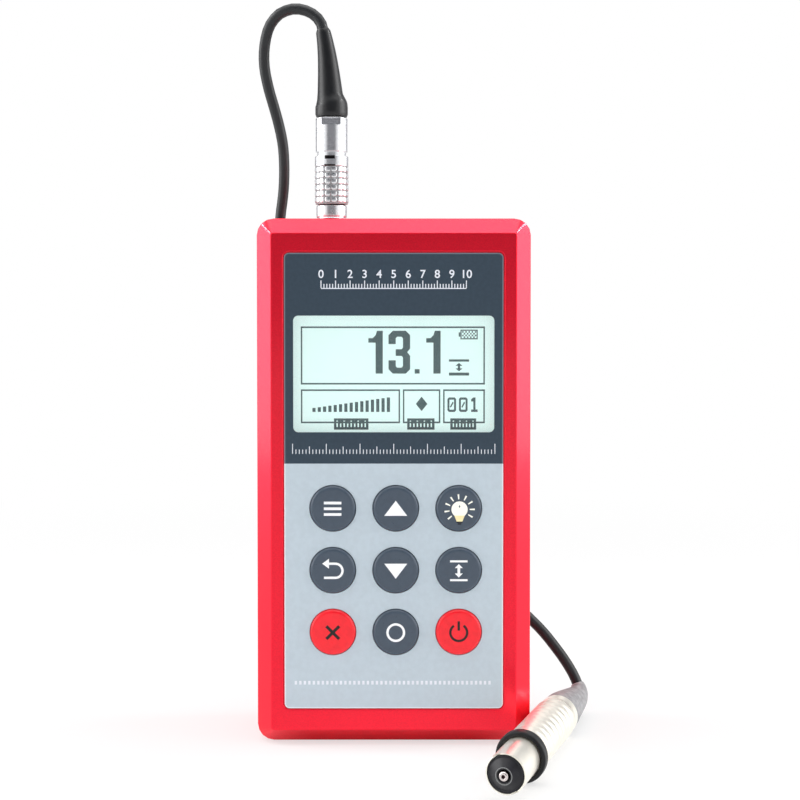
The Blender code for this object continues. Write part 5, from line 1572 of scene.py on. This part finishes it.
# Start and end below the band's top, and width
DARK_BARS = ((-0.0001, 0.0011, 0.0031), (0.0027, 0.0033, 0.0034))
# Colour of two dark bars on the front of the band
DARK_BAR_COLOUR = srgb(48, 44, 44)
NUT_R = 0.0049
NUT_NOSE_R = 0.0044
NUT_NOSE_L = 0.0016
NUT_BORE_R = 0.0036
NUT_CABLE_R = 0.0025
NUT_THREAD_L = 0.005
NUT_FLAT = 0.00385
NUT_FLAT_L = 0.0022
NUT_FLAT_TOP = 0.0003
FLANGE_R = 0.006
FLANGE_T = 0.001
SOCKET_BORE_R = 0.0036
SOCKET_BODY_R = 0.0043
SOCKET_FLOOR_T = 0.0025
RELIEF_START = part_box("bend_relief")[0].z
RELIEF_BASE_R = 0.005
RELIEF_COLLAR = 0.0037
RELIEF_NECK = 0.0064
RELIEF_NECK_R = 0.00395
RELIEF_TIP_R = 0.0022
RELIEF_TAPER = 0.0204
RELIEF_EDGE = 0.0012
# At the neck, along the taper, and more of it towards the tip
RELIEF_LEAN = (0.0004, 0.0012, 0.0011)
RELIEF_STEPS = 24


def knurled_metal():
    """Bright studs with painted shade in the grooves between them, and two dark bars on the smooth
    band.
    """
    bright = tuple(colours().metal)
    finish = turned_finish("knurled_chrome", bright, CHROME_ROUGH, UPRIGHT, Vector((PLUG_X, 0, 0)))
    x, y, z = finish.axes()
    foot, face = (SLEEVE_WALL_R + sizes().knurl_height * share for share in (STUD_FOOT, STUD_FACE))
    # Painted shade: the grooves and the feet of the studs are darkened and not metallic, where
    # shade would fall
    stud = finish.between(finish.radius(), foot, face)
    studs_and_groove_shade = finish.mixed(stud, shaded(bright, GROOVE_PAINTED_SHADE), bright)
    dark_bar_mask = 0.0
    for above, below, wide in DARK_BARS:
        inside = (z < SLEEVE_HIGH.z - above) * (z > SLEEVE_HIGH.z - below) * (y < 0.0)
        dark_bar_mask = inside * (abs(x - DARK_BAR_X) < wide / 2) + dark_bar_mask
    finish.set("Base Color", finish.mixed(dark_bar_mask, studs_and_groove_shade, DARK_BAR_COLOUR))
    finish.set("Metallic", stud)
    return finish.material


def sleeve_shape():
    """A tube with rows of raised studs, and a smooth band above them."""
    start = SLEEVE_LOW.z
    end = SLEEVE_HIGH.z
    knurl = start + KNURL_START
    band = knurl + KNURL_ROWS * KNURL_PITCH
    top = softened(
        [
            (SLEEVE_WALL_R, band),
            (SLEEVE_BAND_R, band + KNURL_GROOVE * 2),
            (SLEEVE_BAND_R, end),
            (SLEEVE_SKIRT_R, end),
            (SLEEVE_SKIRT_R, end - SLEEVE_SKIRT),
        ],
        METAL_EDGE,
    )
    profile = [
        (SLEEVE_WALL_R - METAL_EDGE / 2, start),
        (SLEEVE_WALL_R, start + METAL_EDGE / 2),
        *top,
        (SLEEVE_BORE_R, end - SLEEVE_SKIRT),
        (SLEEVE_BORE_R, start),
    ]
    wall = turned(profile)
    studs = []
    for row in range(KNURL_ROWS):
        for column in range(KNURL_COLUMNS):
            turn = Matrix.Rotation(math.tau * (column + 0.5) / KNURL_COLUMNS, 4, "Z")
            lift = Matrix.Translation((SLEEVE_WALL_R, 0, knurl + (row + 0.5) * KNURL_PITCH))
            studs.append(knurl_stud(turn @ lift))
    return joined(wall, *studs)


def knurl_stud(place):
    """A raised pad with rounded corners, set on the sleeve's wall."""
    bm = bmesh.new()
    bmesh.ops.create_uvsphere(bm, u_segments=STUD_SIDES, v_segments=STUD_SIDES // 2, radius=1)
    for vert in bm.verts:
        vert.co = [math.copysign(abs(part) ** STUD_ROUND, part) for part in vert.co]
    half_w = math.pi * SLEEVE_WALL_R / KNURL_COLUMNS - KNURL_GROOVE / 2
    half_h = (KNURL_PITCH - KNURL_GROOVE) / 2
    lying = Matrix.Rotation(math.pi / 2, 4, "Y")
    size = Matrix.Diagonal((half_h, half_w, sizes().knurl_height, 1))
    bmesh.ops.transform(bm, verts=bm.verts, matrix=place @ lying @ size)
    return bm


def nut_shape():
    """A nut with a flat on its front and back for a spanner."""
    base = NUT_LOW.z
    top = NUT_HIGH.z
    shoulder = base + NUT_NOSE_L
    flat_top = top - NUT_FLAT_TOP
    flat_low = flat_top - NUT_FLAT_L
    hair = WELD * 20
    outer = softened(
        [
            (NUT_NOSE_R, base),
            (NUT_NOSE_R, shoulder),
            (NUT_R, shoulder),
            (NUT_R, flat_low - 2 * hair),
        ],
        METAL_EDGE / 2,
    )
    profile = [
        *outer[:-1],
        (NUT_R, flat_low - hair),
        (NUT_R, flat_low),
        (NUT_R, flat_top),
        (NUT_R, flat_top + hair),
        (NUT_R - METAL_EDGE, top),
        (NUT_CABLE_R, top),
        (NUT_CABLE_R, base + NUT_THREAD_L),
        (NUT_BORE_R, base + NUT_THREAD_L),
        (NUT_BORE_R, base),
    ]
    bm = turned(profile)
    for vert in bm.verts:
        inside = flat_low - hair / 2 < vert.co.z < flat_top + hair / 2
        if inside and abs(vert.co.y) > NUT_FLAT:
            vert.co.y = math.copysign(NUT_FLAT, vert.co.y)
    return bm


def plug_shape():
    """The plug's body: nozzle, front ring, core and thread."""
    base = PLUG_LOW.z
    top = PLUG_HIGH.z
    seat = TOP_Z + SEAT_GAP
    profile = [
        (NOZZLE_R, base),
        (NOZZLE_R, seat),
        (RING_R - RING_ROUND, seat),
        (RING_R - RING_ROUND * RING_FACET, seat + RING_ROUND * RING_FACET),
        (RING_R, seat + RING_ROUND),
        (RING_R, TOP_Z + RING_TOP),
        (CORE_R, TOP_Z + RING_TOP),
        (CORE_R, TOP_Z + CORE_TOP),
        (THREAD_R, TOP_Z + CORE_TOP),
        (THREAD_R, top),
        (NOZZLE_BORE_R, top),
        (NOZZLE_BORE_R, base),
    ]
    return turned(closed_softened(profile, PLUG_EDGE))


def socket_shape():
    """The socket's body: a flange round a bore with a closed floor."""
    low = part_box("probe_socket")[0].z
    profile = [
        (0, low),
        (SOCKET_BODY_R, low),
        (SOCKET_BODY_R, TOP_Z - FLANGE_T),
        (FLANGE_R, TOP_Z - FLANGE_T),
        (FLANGE_R, TOP_Z),
        (SOCKET_BORE_R, TOP_Z),
        (SOCKET_BORE_R, low + SOCKET_FLOOR_T),
        (0, low + SOCKET_FLOOR_T),
    ]
    return turned(softened(profile, METAL_EDGE / 2))


def relief_shape():
    """The relief: a collar that steps down to a tapering sleeve with a rounded tip."""
    start = RELIEF_START
    collar = start + RELIEF_COLLAR
    neck = start + RELIEF_NECK
    outline = softened(
        [
            (RELIEF_BASE_R, start),
            (RELIEF_BASE_R, collar),
            (RELIEF_NECK_R, neck),
            (RELIEF_TIP_R, neck + RELIEF_TAPER),
        ],
        RELIEF_EDGE,
        6,
    )
    base_lean, slope, curl = RELIEF_LEAN
    stations = [((PLUG_X, 0, start), RELIEF_BASE_R - METAL_EDGE)]
    dense = []
    for (r0, z0), (r1, z1) in zip(outline, outline[1:]):
        parts = max(1, round((z1 - z0) / (RELIEF_TAPER / RELIEF_STEPS)))
        for part in range(parts):
            dense.append((r0 + (r1 - r0) * part / parts, z0 + (z1 - z0) * part / parts))
    dense.append(outline[-1])
    for radius, z in dense[1:]:
        share = max(0.0, (z - neck) / RELIEF_TAPER)
        ease = min(1.0, max(0.0, (z - collar) / (neck - collar)))
        lean = base_lean * ease + slope * share + curl * share**3
        stations.append(((PLUG_X - lean, 0, z), radius))
    last, radius = stations[-1]
    stations[-1] = (last, radius - METAL_EDGE)
    return cut(swept(stations), cord_hole(CORD_ROUTE[0], CORD_ROUTE[1]))


class GAUGE_OT_plug(Operator):
    """Add the socket, the push-pull plug and its bend relief"""

    bl_idname = "gauge.add_plug"
    bl_label = "Plug and socket"

    def execute(self, context):
        chrome = turned_metal("plug_chrome", colours().metal, CHROME_ROUGH)
        studs = knurled_metal()
        at = Matrix.Translation((PLUG_X, 0, 0))
        for name, shape, finish, body, node in (
            ("chrome_socket", socket_shape(), chrome, "housing", "probe_socket"),
            ("chrome_plug_body", plug_shape(), chrome, "plug", "plug_body"),
            ("knurled_sleeve", sleeve_shape(), studs, "sleeve", "plug_sleeve"),
            ("chrome_plug_nut", nut_shape(), chrome, "plug", "plug_nut"),
        ):
            add_piece(name, shape, finish, body, [node], at)
        rubber = satin(
            "relief_rubber",
            colours().relief,
            roughness=0.34,
            spread=0.1,
            size=0.0006,
            depth=0.00003,
            specular_ior_level=0.4,
        )
        add_piece("rubber_relief", relief_shape(), rubber, "plug", ["bend_relief"])
        plastic = satin("insert_plastic", srgb(36, 36, 38), roughness=0.5)
        dress(plastic, "plug_insert", "socket_insert")
        dress(turned_metal("socket_brass", BRASS, 0.25), "socket_nut")
        return {"FINISHED"}


# Probe

PROBE_CREAM = srgb(250, 246, 234)
PROBE_ROUGH = 0.3
PROBE_METALLIC = 0.8
FACE_BLACK = srgb(26, 26, 31)
FACE_RING_BLUR = 0.0001
POLE_HOLE_BLUR = 0.1
COPPER_PITCH = 0.0002
NOSE_FRONT = 0.0022
NOSE_R = 0.00555
NOSE_WALL = 0.0004
NOSE_EDGE = NOSE_WALL * 0.4
NOSE_STEM_R = 0.0046
NOSE_STEM_WALL = 0.0006
NOSE_STEM_L = 0.0132
NOSE_L = 0.0205
NOSE_TRAVEL = 0.003
NOTCH_W = 0.0024
NOTCH_DEPTH = 0.0011
NOTCH_TURN = math.radians(62)
FACE_R = 0.005
FACE_T = 0.0028
FACE_EDGE = 0.00024
FACE_CONE_R = 0.0044
FACE_BOSS_R = 0.0023
FACE_BOSS_FRONT = 0.0005
FACE_RECESS_R = 0.0021
FACE_RECESS = 0.0004
POLE_R = 0.0013
POLE_L = 0.0167
POLE_TIP_R = 0.0005
POLE_TIP_DEPTH = 0.0003
COLLAR_R = 0.00715
COLLAR_FRONT = 0.0164
COLLAR_L = 0.0033
COLLAR_LIP_T = 0.0008
COLLAR_EDGE = 0.0007
GRIP_R = 0.0061
GRIP_NECK_WALL = 0.0004
RIDGES = 9
RIDGE_PITCH = 0.0036
RIDGE_START = 0.0242
RIDGE_PARTS = 12
RIDGE_ROUND = 0.7
GRIP_BAND_L = 0.0072
GRIP_GROOVE_W = 0.0006
GRIP_TAIL_R = 0.0053
PROBE_L = 0.063
BORE_END = 0.0555
CABLE_R = 0.0022
CLAMP_L = 0.006
COIL_WIRE_R = 0.0004
COIL_TURNS = 6
COIL_STEPS = 24
COIL_SIDES = 12
# The spring's two ends, along the probe
COIL_START = NOSE_L + NOSE_STEM_L + SEAT_GAP
COIL_END = BORE_END - CLAMP_L - 2 * SEAT_GAP
BOOT_BASE_R = 0.0059
BOOT_LAP = 0.0036
BOOT_TIP_R = 0.0021
BOOT_REACH = 0.011
BOOT_TURN_UP = 0.0048
BOOT_STEPS = 28


def face_plastic(axis, tip):
    """Black plastic with a grey ring on the boss round the pole."""
    finish = Finish("face_plastic", FACE_BLACK, 0.4, specular_ior_level=0.35)
    finish.lay_along(axis, tip)
    radius = finish.radius()
    grain = finish.noise(size=0.0005, detail=3.0)
    outside_hole = finish.between(radius, FACE_RECESS_R - FACE_RING_BLUR, FACE_RECESS_R)
    outside_boss = finish.between(radius, FACE_BOSS_R, FACE_BOSS_R + FACE_RING_BLUR)
    ring = outside_hole * (1 - outside_boss)
    black = finish.mottle(FACE_BLACK, size=0.0012, spread=0.2, detail=3.0)
    finish.set("Base Color", finish.mixed(ring, black, srgb(128, 130, 130)))
    finish.set("Roughness", 0.34 + 0.12 * grain)
    finish.bump(grain, depth=0.00002, strength=0.4)
    return finish.material


def pole_steel(axis, tip):
    """Bright steel, with painted shade in the small hole at the tip."""
    bright = srgb(226, 216, 214)
    finish = turned_finish("pole_steel", bright, 0.2, axis, tip)
    low, high = POLE_TIP_R * (1 - POLE_HOLE_BLUR), POLE_TIP_R * (1 + POLE_HOLE_BLUR)
    # Painted shade: the shallow hole at the tip is coloured dark, as shade would fall in it
    hole = finish.between(finish.radius(), low, high)
    finish.set("Base Color", finish.mixed(hole, srgb(44, 30, 32), bright))
    return finish.material


def wound_copper(axis):
    """Enamelled wire wound round the coil's axis, darker between the turns and lighter on their
    crowns: painted shade and painted highlight.
    """
    finish = Finish("wound_copper", srgb(176, 92, 52), 0.3, 0.9)
    finish.lay_along(axis)
    height = finish.axes()[2]
    # Painted shade between the turns and painted highlight on their crowns
    wraps = finish.maths("PINGPONG", height / COPPER_PITCH, 0.5)
    finish.set("Base Color", finish.mixed(wraps * 1.6, srgb(120, 54, 30), srgb(206, 120, 70)))
    finish.bump(wraps, depth=0.00008, strength=0.7)
    return finish.material


def probe_axis():
    """The direction in which the nose goes into the grip."""
    joint = next(joint for joint in frame["joints"] if joint["name"] == "nose_press")
    return Vector(joint["axis"]).normalized()


def probe_place():
    """The tip of the probe's pole, with local Z towards the rear."""
    axis = probe_axis()
    low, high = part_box("probe_pole")
    tip = (low + high) / 2 - axis * POLE_L / 2
    across = axis.cross(UPRIGHT).normalized()
    down = axis.cross(across)
    turn = Matrix((across, down, axis)).transposed().to_4x4()
    return Matrix.Translation(tip) @ turn


def nose_shape():
    """The nose: a thin sleeve with a notched rim, and the stem that slides in the grip."""
    stem_end = NOSE_L + NOSE_STEM_L
    stem_bore = NOSE_STEM_R - NOSE_STEM_WALL
    bore = NOSE_R - NOSE_WALL
    floor = NOSE_L - NOSE_STEM_WALL
    profile = [
        (NOSE_R, NOSE_FRONT),
        (NOSE_R, NOSE_L),
        (NOSE_STEM_R, NOSE_L),
        (NOSE_STEM_R, stem_end),
        (stem_bore, stem_end),
        (stem_bore, floor),
        (bore, floor),
        (bore, NOSE_FRONT),
    ]
    bm = turned(closed_softened(profile, NOSE_EDGE, 2))
    across = Matrix.Rotation(math.pi / 2, 4, "Y")
    notch = rod(4, NOTCH_W / 2, 2 * NOSE_R + NOSE_WALL * 4, across)
    squeeze = Matrix.Diagonal((1, 1, NOTCH_DEPTH / (NOTCH_W / 2), 1))
    turn = Matrix.Rotation(NOTCH_TURN, 4, "Z")
    at_front = Matrix.Translation((0, 0, NOSE_FRONT))
    bmesh.ops.transform(notch, verts=notch.verts, matrix=at_front @ turn @ squeeze)
    return cut(bm, notch)


def face_shape():
    """The black face: a cone that steps up to a boss round the pole."""
    hole = POLE_R + SEAT_GAP
    front = NOSE_FRONT + SEAT_GAP / 2
    back = NOSE_FRONT + FACE_T
    profile = [
        (FACE_R, front),
        (FACE_R, back),
        (hole, back),
        (hole, FACE_BOSS_FRONT + FACE_RECESS),
        (FACE_RECESS_R, FACE_BOSS_FRONT + FACE_RECESS),
        (FACE_RECESS_R, FACE_BOSS_FRONT),
        (FACE_BOSS_R, FACE_BOSS_FRONT),
        (FACE_CONE_R, front),
    ]
    return turned(closed_softened(profile, FACE_EDGE))


def pole_shape():
    """The pole, with a small hole in its tip."""
    profile = [
        (0, POLE_TIP_DEPTH),
        (POLE_TIP_R, POLE_TIP_DEPTH),
        (POLE_TIP_R, 0),
        (POLE_R - SEAT_GAP, 0),
        (POLE_R, SEAT_GAP),
        (POLE_R, POLE_L),
        (0, POLE_L),
    ]
    return turned(softened(profile, SEAT_GAP / 2), SMALL_SIDES)


def collar_shape():
    """The rubber collar, whose outer edges are full rounds."""
    end = COLLAR_FRONT + COLLAR_L
    nose_clear = NOSE_R + SEAT_GAP
    neck_clear = nose_clear + GRIP_NECK_WALL + SEAT_GAP
    profile = [
        (nose_clear, COLLAR_FRONT),
        (COLLAR_R, COLLAR_FRONT),
        (COLLAR_R, end),
        (neck_clear, end),
        (neck_clear, COLLAR_FRONT + COLLAR_LIP_T),
        (nose_clear, COLLAR_FRONT + COLLAR_LIP_T),
    ]
    return turned(closed_softened(profile, COLLAR_EDGE, 5))


def grip_shape():
    """The grip: a neck, nine rounded ridges and a smooth rear band behind a groove."""
    ridge = sizes().ridge_height
    neck_bore = NOSE_R + SEAT_GAP
    neck = neck_bore + GRIP_NECK_WALL
    bore = NOSE_STEM_R + SEAT_GAP
    front = COLLAR_FRONT + COLLAR_LIP_T + SEAT_GAP
    shoulder = COLLAR_FRONT + COLLAR_L + SEAT_GAP
    step = NOSE_L + NOSE_TRAVEL + SEAT_GAP
    first = RIDGE_START - RIDGE_PITCH / 2
    waves = []
    for part in range(RIDGES * RIDGE_PARTS + 1):
        height = (1 - math.cos(math.tau * part / RIDGE_PARTS)) / 2
        radius = GRIP_R + ridge * height**RIDGE_ROUND
        waves.append((radius, first + RIDGE_PITCH * part / RIDGE_PARTS))
    band = PROBE_L - GRIP_BAND_L
    skirt = PROBE_L - BOOT_LAP
    profile = [
        (neck, front),
        (neck, shoulder),
        (GRIP_R - METAL_EDGE / 2, shoulder),
        (GRIP_R, shoulder + METAL_EDGE / 2),
        *waves,
        (GRIP_R, band - GRIP_GROOVE_W),
        (GRIP_R - ridge, band - GRIP_GROOVE_W * 0.7),
        (GRIP_R - ridge, band - GRIP_GROOVE_W * 0.3),
        (GRIP_R, band),
        (GRIP_R, skirt - METAL_EDGE),
        (GRIP_R - METAL_EDGE, skirt),
        (GRIP_TAIL_R, skirt),
        (GRIP_TAIL_R, PROBE_L),
        (CABLE_R, PROBE_L),
        (CABLE_R, BORE_END),
        (bore, BORE_END),
        (bore, step),
        (neck_bore, step),
        (neck_bore, front),
    ]
    return turned(profile)


def boot_shape(place):
    """A boot whose skirt sits on the grip's tail, and whose end turns up to meet the cord."""
    cord_end = Vector(CORD_ROUTE[-1])
    into_boot = (cord_end - Vector(CORD_ROUTE[-2])).normalized()
    start = place @ Vector((0, 0, PROBE_L + SEAT_GAP))
    tip = cord_end + into_boot * SEAT_GAP
    pulls = (start, start + probe_axis() * BOOT_REACH, tip + into_boot * BOOT_TURN_UP, tip)
    stations = []
    for step in range(BOOT_STEPS + 1):
        t = step / BOOT_STEPS
        shares = ((1 - t) ** 3, 3 * t * (1 - t) ** 2, 3 * t**2 * (1 - t), t**3)
        where = sum((pull * share for pull, share in zip(pulls, shares)), Vector())
        stations.append((where, BOOT_BASE_R + (BOOT_TIP_R - BOOT_BASE_R) * t))
    stations[-1] = (tip, BOOT_TIP_R - METAL_EDGE / 2)
    lip = PROBE_L - BOOT_LAP + WELD
    skirt = [
        (place @ Vector((0, 0, lip)), BOOT_BASE_R - METAL_EDGE / 2),
        (place @ Vector((0, 0, lip + METAL_EDGE / 2)), BOOT_BASE_R),
    ]
    skirt_end = place @ Matrix.Translation((0, 0, PROBE_L - BOOT_LAP))
    room = rod(TUBE_SIDES * 2, GRIP_TAIL_R + SEAT_GAP / 3, 2 * BOOT_LAP, skirt_end)
    boot = cut(swept([*skirt, *stations]), room)
    return cut(boot, cord_hole(CORD_ROUTE[-1], CORD_ROUTE[-2]))


def coil_path(place):
    """The middle of the wire that the nose's stem presses back on."""
    radius = NOSE_STEM_R - COIL_WIRE_R
    count = COIL_TURNS * COIL_STEPS
    rise = COIL_END - COIL_START - 2 * COIL_WIRE_R
    path = []
    for step in range(count + 1):
        turn = math.tau * step / COIL_STEPS
        height = COIL_START + COIL_WIRE_R + rise * step / count
        path.append(place @ Vector((radius * math.cos(turn), radius * math.sin(turn), height)))
    return path


class GAUGE_OT_probe(Operator):
    """Add the probe"""

    bl_idname = "gauge.add_probe"
    bl_label = "Probe"

    def execute(self, context):
        place = probe_place()
        axis = probe_axis()
        tip = place.translation
        satin_chrome = turned_finish("probe_chrome", PROBE_CREAM, PROBE_ROUGH, axis)
        satin_chrome.set("Metallic", PROBE_METALLIC)
        chrome = satin_chrome.material
        steel = pole_steel(axis, tip)
        plastic = face_plastic(axis, tip)
        rubber = satin(
            "collar_rubber",
            srgb(20, 21, 23),
            roughness=0.45,
            spread=0.1,
            size=0.0005,
            depth=0.00003,
            specular_ior_level=0.3,
        )
        for name, shape, finish, body, slot, node in (
            ("chrome_nose", nose_shape(), chrome, "nose", "chrome", "probe_nose"),
            ("black_face", face_shape(), plastic, "nose", "black_plastic", "probe_face"),
            ("steel_pole", pole_shape(), steel, "nose", "chrome", "probe_pole"),
            ("rubber_collar", collar_shape(), rubber, "housing", "black_rubber", "probe_ring"),
            ("chrome_grip", grip_shape(), chrome, "housing", "chrome", "probe_grip"),
        ):
            add_piece(name, shape, finish, body, [node], place)
        grey = satin(
            "boot_rubber", colours().boot, roughness=0.5, spread=0.25, size=0.0004, depth=0.00006
        )
        add_piece("grey_boot", boot_shape(place), grey, "housing", ["probe_boot"])
        dress(wound_copper(axis), "probe_coil")
        wire = turned_metal("probe_spring_steel", srgb(176, 176, 174), 0.25, axis)
        coil = tube_shape(coil_path(place), COIL_WIRE_R, COIL_SIDES)
        spring = finished_object(
            "nose_spring", coil, wire, ["probe_spring"], TUBE_SHARP
        )
        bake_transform(spring)
        dress(turned_metal("clamp_brass", BRASS, 0.25, axis), "cable_clamp")
        return {"FINISHED"}


# What the housing holds

BATTERY_BAND_Z = 0.058


def circuit_board():
    """Green solder mask over faint copper tracks."""
    finish = Finish("circuit_board", srgb(18, 92, 48), 0.35)
    x, _, z = finish.axes()
    cells = finish.node(
        "ShaderNodeTexBrick",
        {"offset": 0.5, "squash": 1.0},
        {
            "Vector": finish.node("ShaderNodeCombineXYZ", inputs={0: x, 1: z}),
            "Scale": 150.0,
            "Mortar Size": 0.03,
            "Color1": (0, 0, 0, 1),
            "Color2": (0, 0, 0, 1),
            "Mortar": (1, 1, 1, 1),
        },
    )
    tracks = finish.node("ShaderNodeSeparateColor", inputs={0: cells})
    finish.set("Base Color", finish.mixed(tracks * 0.6, srgb(14, 84, 44), srgb(40, 130, 70)))
    finish.bump(tracks, depth=0.00002, strength=0.5)
    return finish.material


def battery_sleeve():
    """A dark shrink sleeve with a copper-coloured top band."""
    dark = srgb(44, 50, 58)
    finish = Finish("battery_sleeve", dark, 0.3, 0.2)
    band = finish.axes()[2] > BATTERY_BAND_Z
    finish.set("Base Color", finish.mixed(band, dark, srgb(178, 116, 70)))
    finish.bump(finish.noise(size=0.0006), depth=0.00001, strength=0.4)
    return finish.material


class GAUGE_OT_inside(Operator):
    """Finish the boards, batteries, contacts and domes inside the housing"""

    bl_idname = "gauge.add_inside"
    bl_label = "Inside"

    def execute(self, context):
        dress(circuit_board(), "main_board", "keypad_board")
        dress(battery_sleeve(), "battery_1", "battery_2")
        dress(satin("tray_plastic", srgb(30, 31, 33), roughness=0.55), "battery_tray", "buzzer")
        spring = turned_metal("contact_steel", srgb(186, 184, 178), 0.28)
        contacts = ("contact_spring_1", "contact_spring_2", "contact_plate", "contact_bridge")
        domes = [f"dome_{function}" for function in KEY_FUNCTIONS]
        dress(spring, *contacts, *domes)
        return {"FINISHED"}


class GAUGE_PT_pieces(Panel):
    """Buttons that add each group of the gauge's pieces"""

    bl_idname = "GAUGE_PT_pieces"
    bl_label = "Coating Thickness Gauge"
    bl_space_type = "VIEW_3D"
    bl_region_type = "UI"
    bl_category = "Gauge"

    def draw(self, context):
        layout = self.layout
        for operator in OPERATORS:
            layout.operator(operator.bl_idname)
        for group in (context.scene.gauge_colours, context.scene.gauge_sizes):
            column = layout.column(align=True)
            for name in group.bl_rna.properties.keys():
                if name not in ("name", "rna_type"):
                    column.prop(group, name)


OPERATORS = (
    GAUGE_OT_stage,
    GAUGE_OT_housing,
    GAUGE_OT_front_panel,
    GAUGE_OT_display,
    GAUGE_OT_keys,
    GAUGE_OT_plug,
    GAUGE_OT_cord,
    GAUGE_OT_probe,
    GAUGE_OT_inside,
)
CLASSES = (GaugeColours, GaugeSizes, *OPERATORS, GAUGE_PT_pieces)


def register():
    for cls in CLASSES:
        bpy.utils.register_class(cls)
    bpy.types.Scene.gauge_colours = PointerProperty(type=GaugeColours)
    bpy.types.Scene.gauge_sizes = PointerProperty(type=GaugeSizes)


def unregister():
    del bpy.types.Scene.gauge_sizes
    del bpy.types.Scene.gauge_colours
    for cls in reversed(CLASSES):
        bpy.utils.unregister_class(cls)


def main():
    register()
    bpy.ops.gauge.add_stage()
    bpy.ops.gauge.add_housing()
    bpy.ops.gauge.add_front_panel()
    bpy.ops.gauge.add_display()
    bpy.ops.gauge.add_keys()
    bpy.ops.gauge.add_plug()
    bpy.ops.gauge.add_cord()
    bpy.ops.gauge.add_probe()
    bpy.ops.gauge.add_inside()


if __name__ == "__main__":
    main()
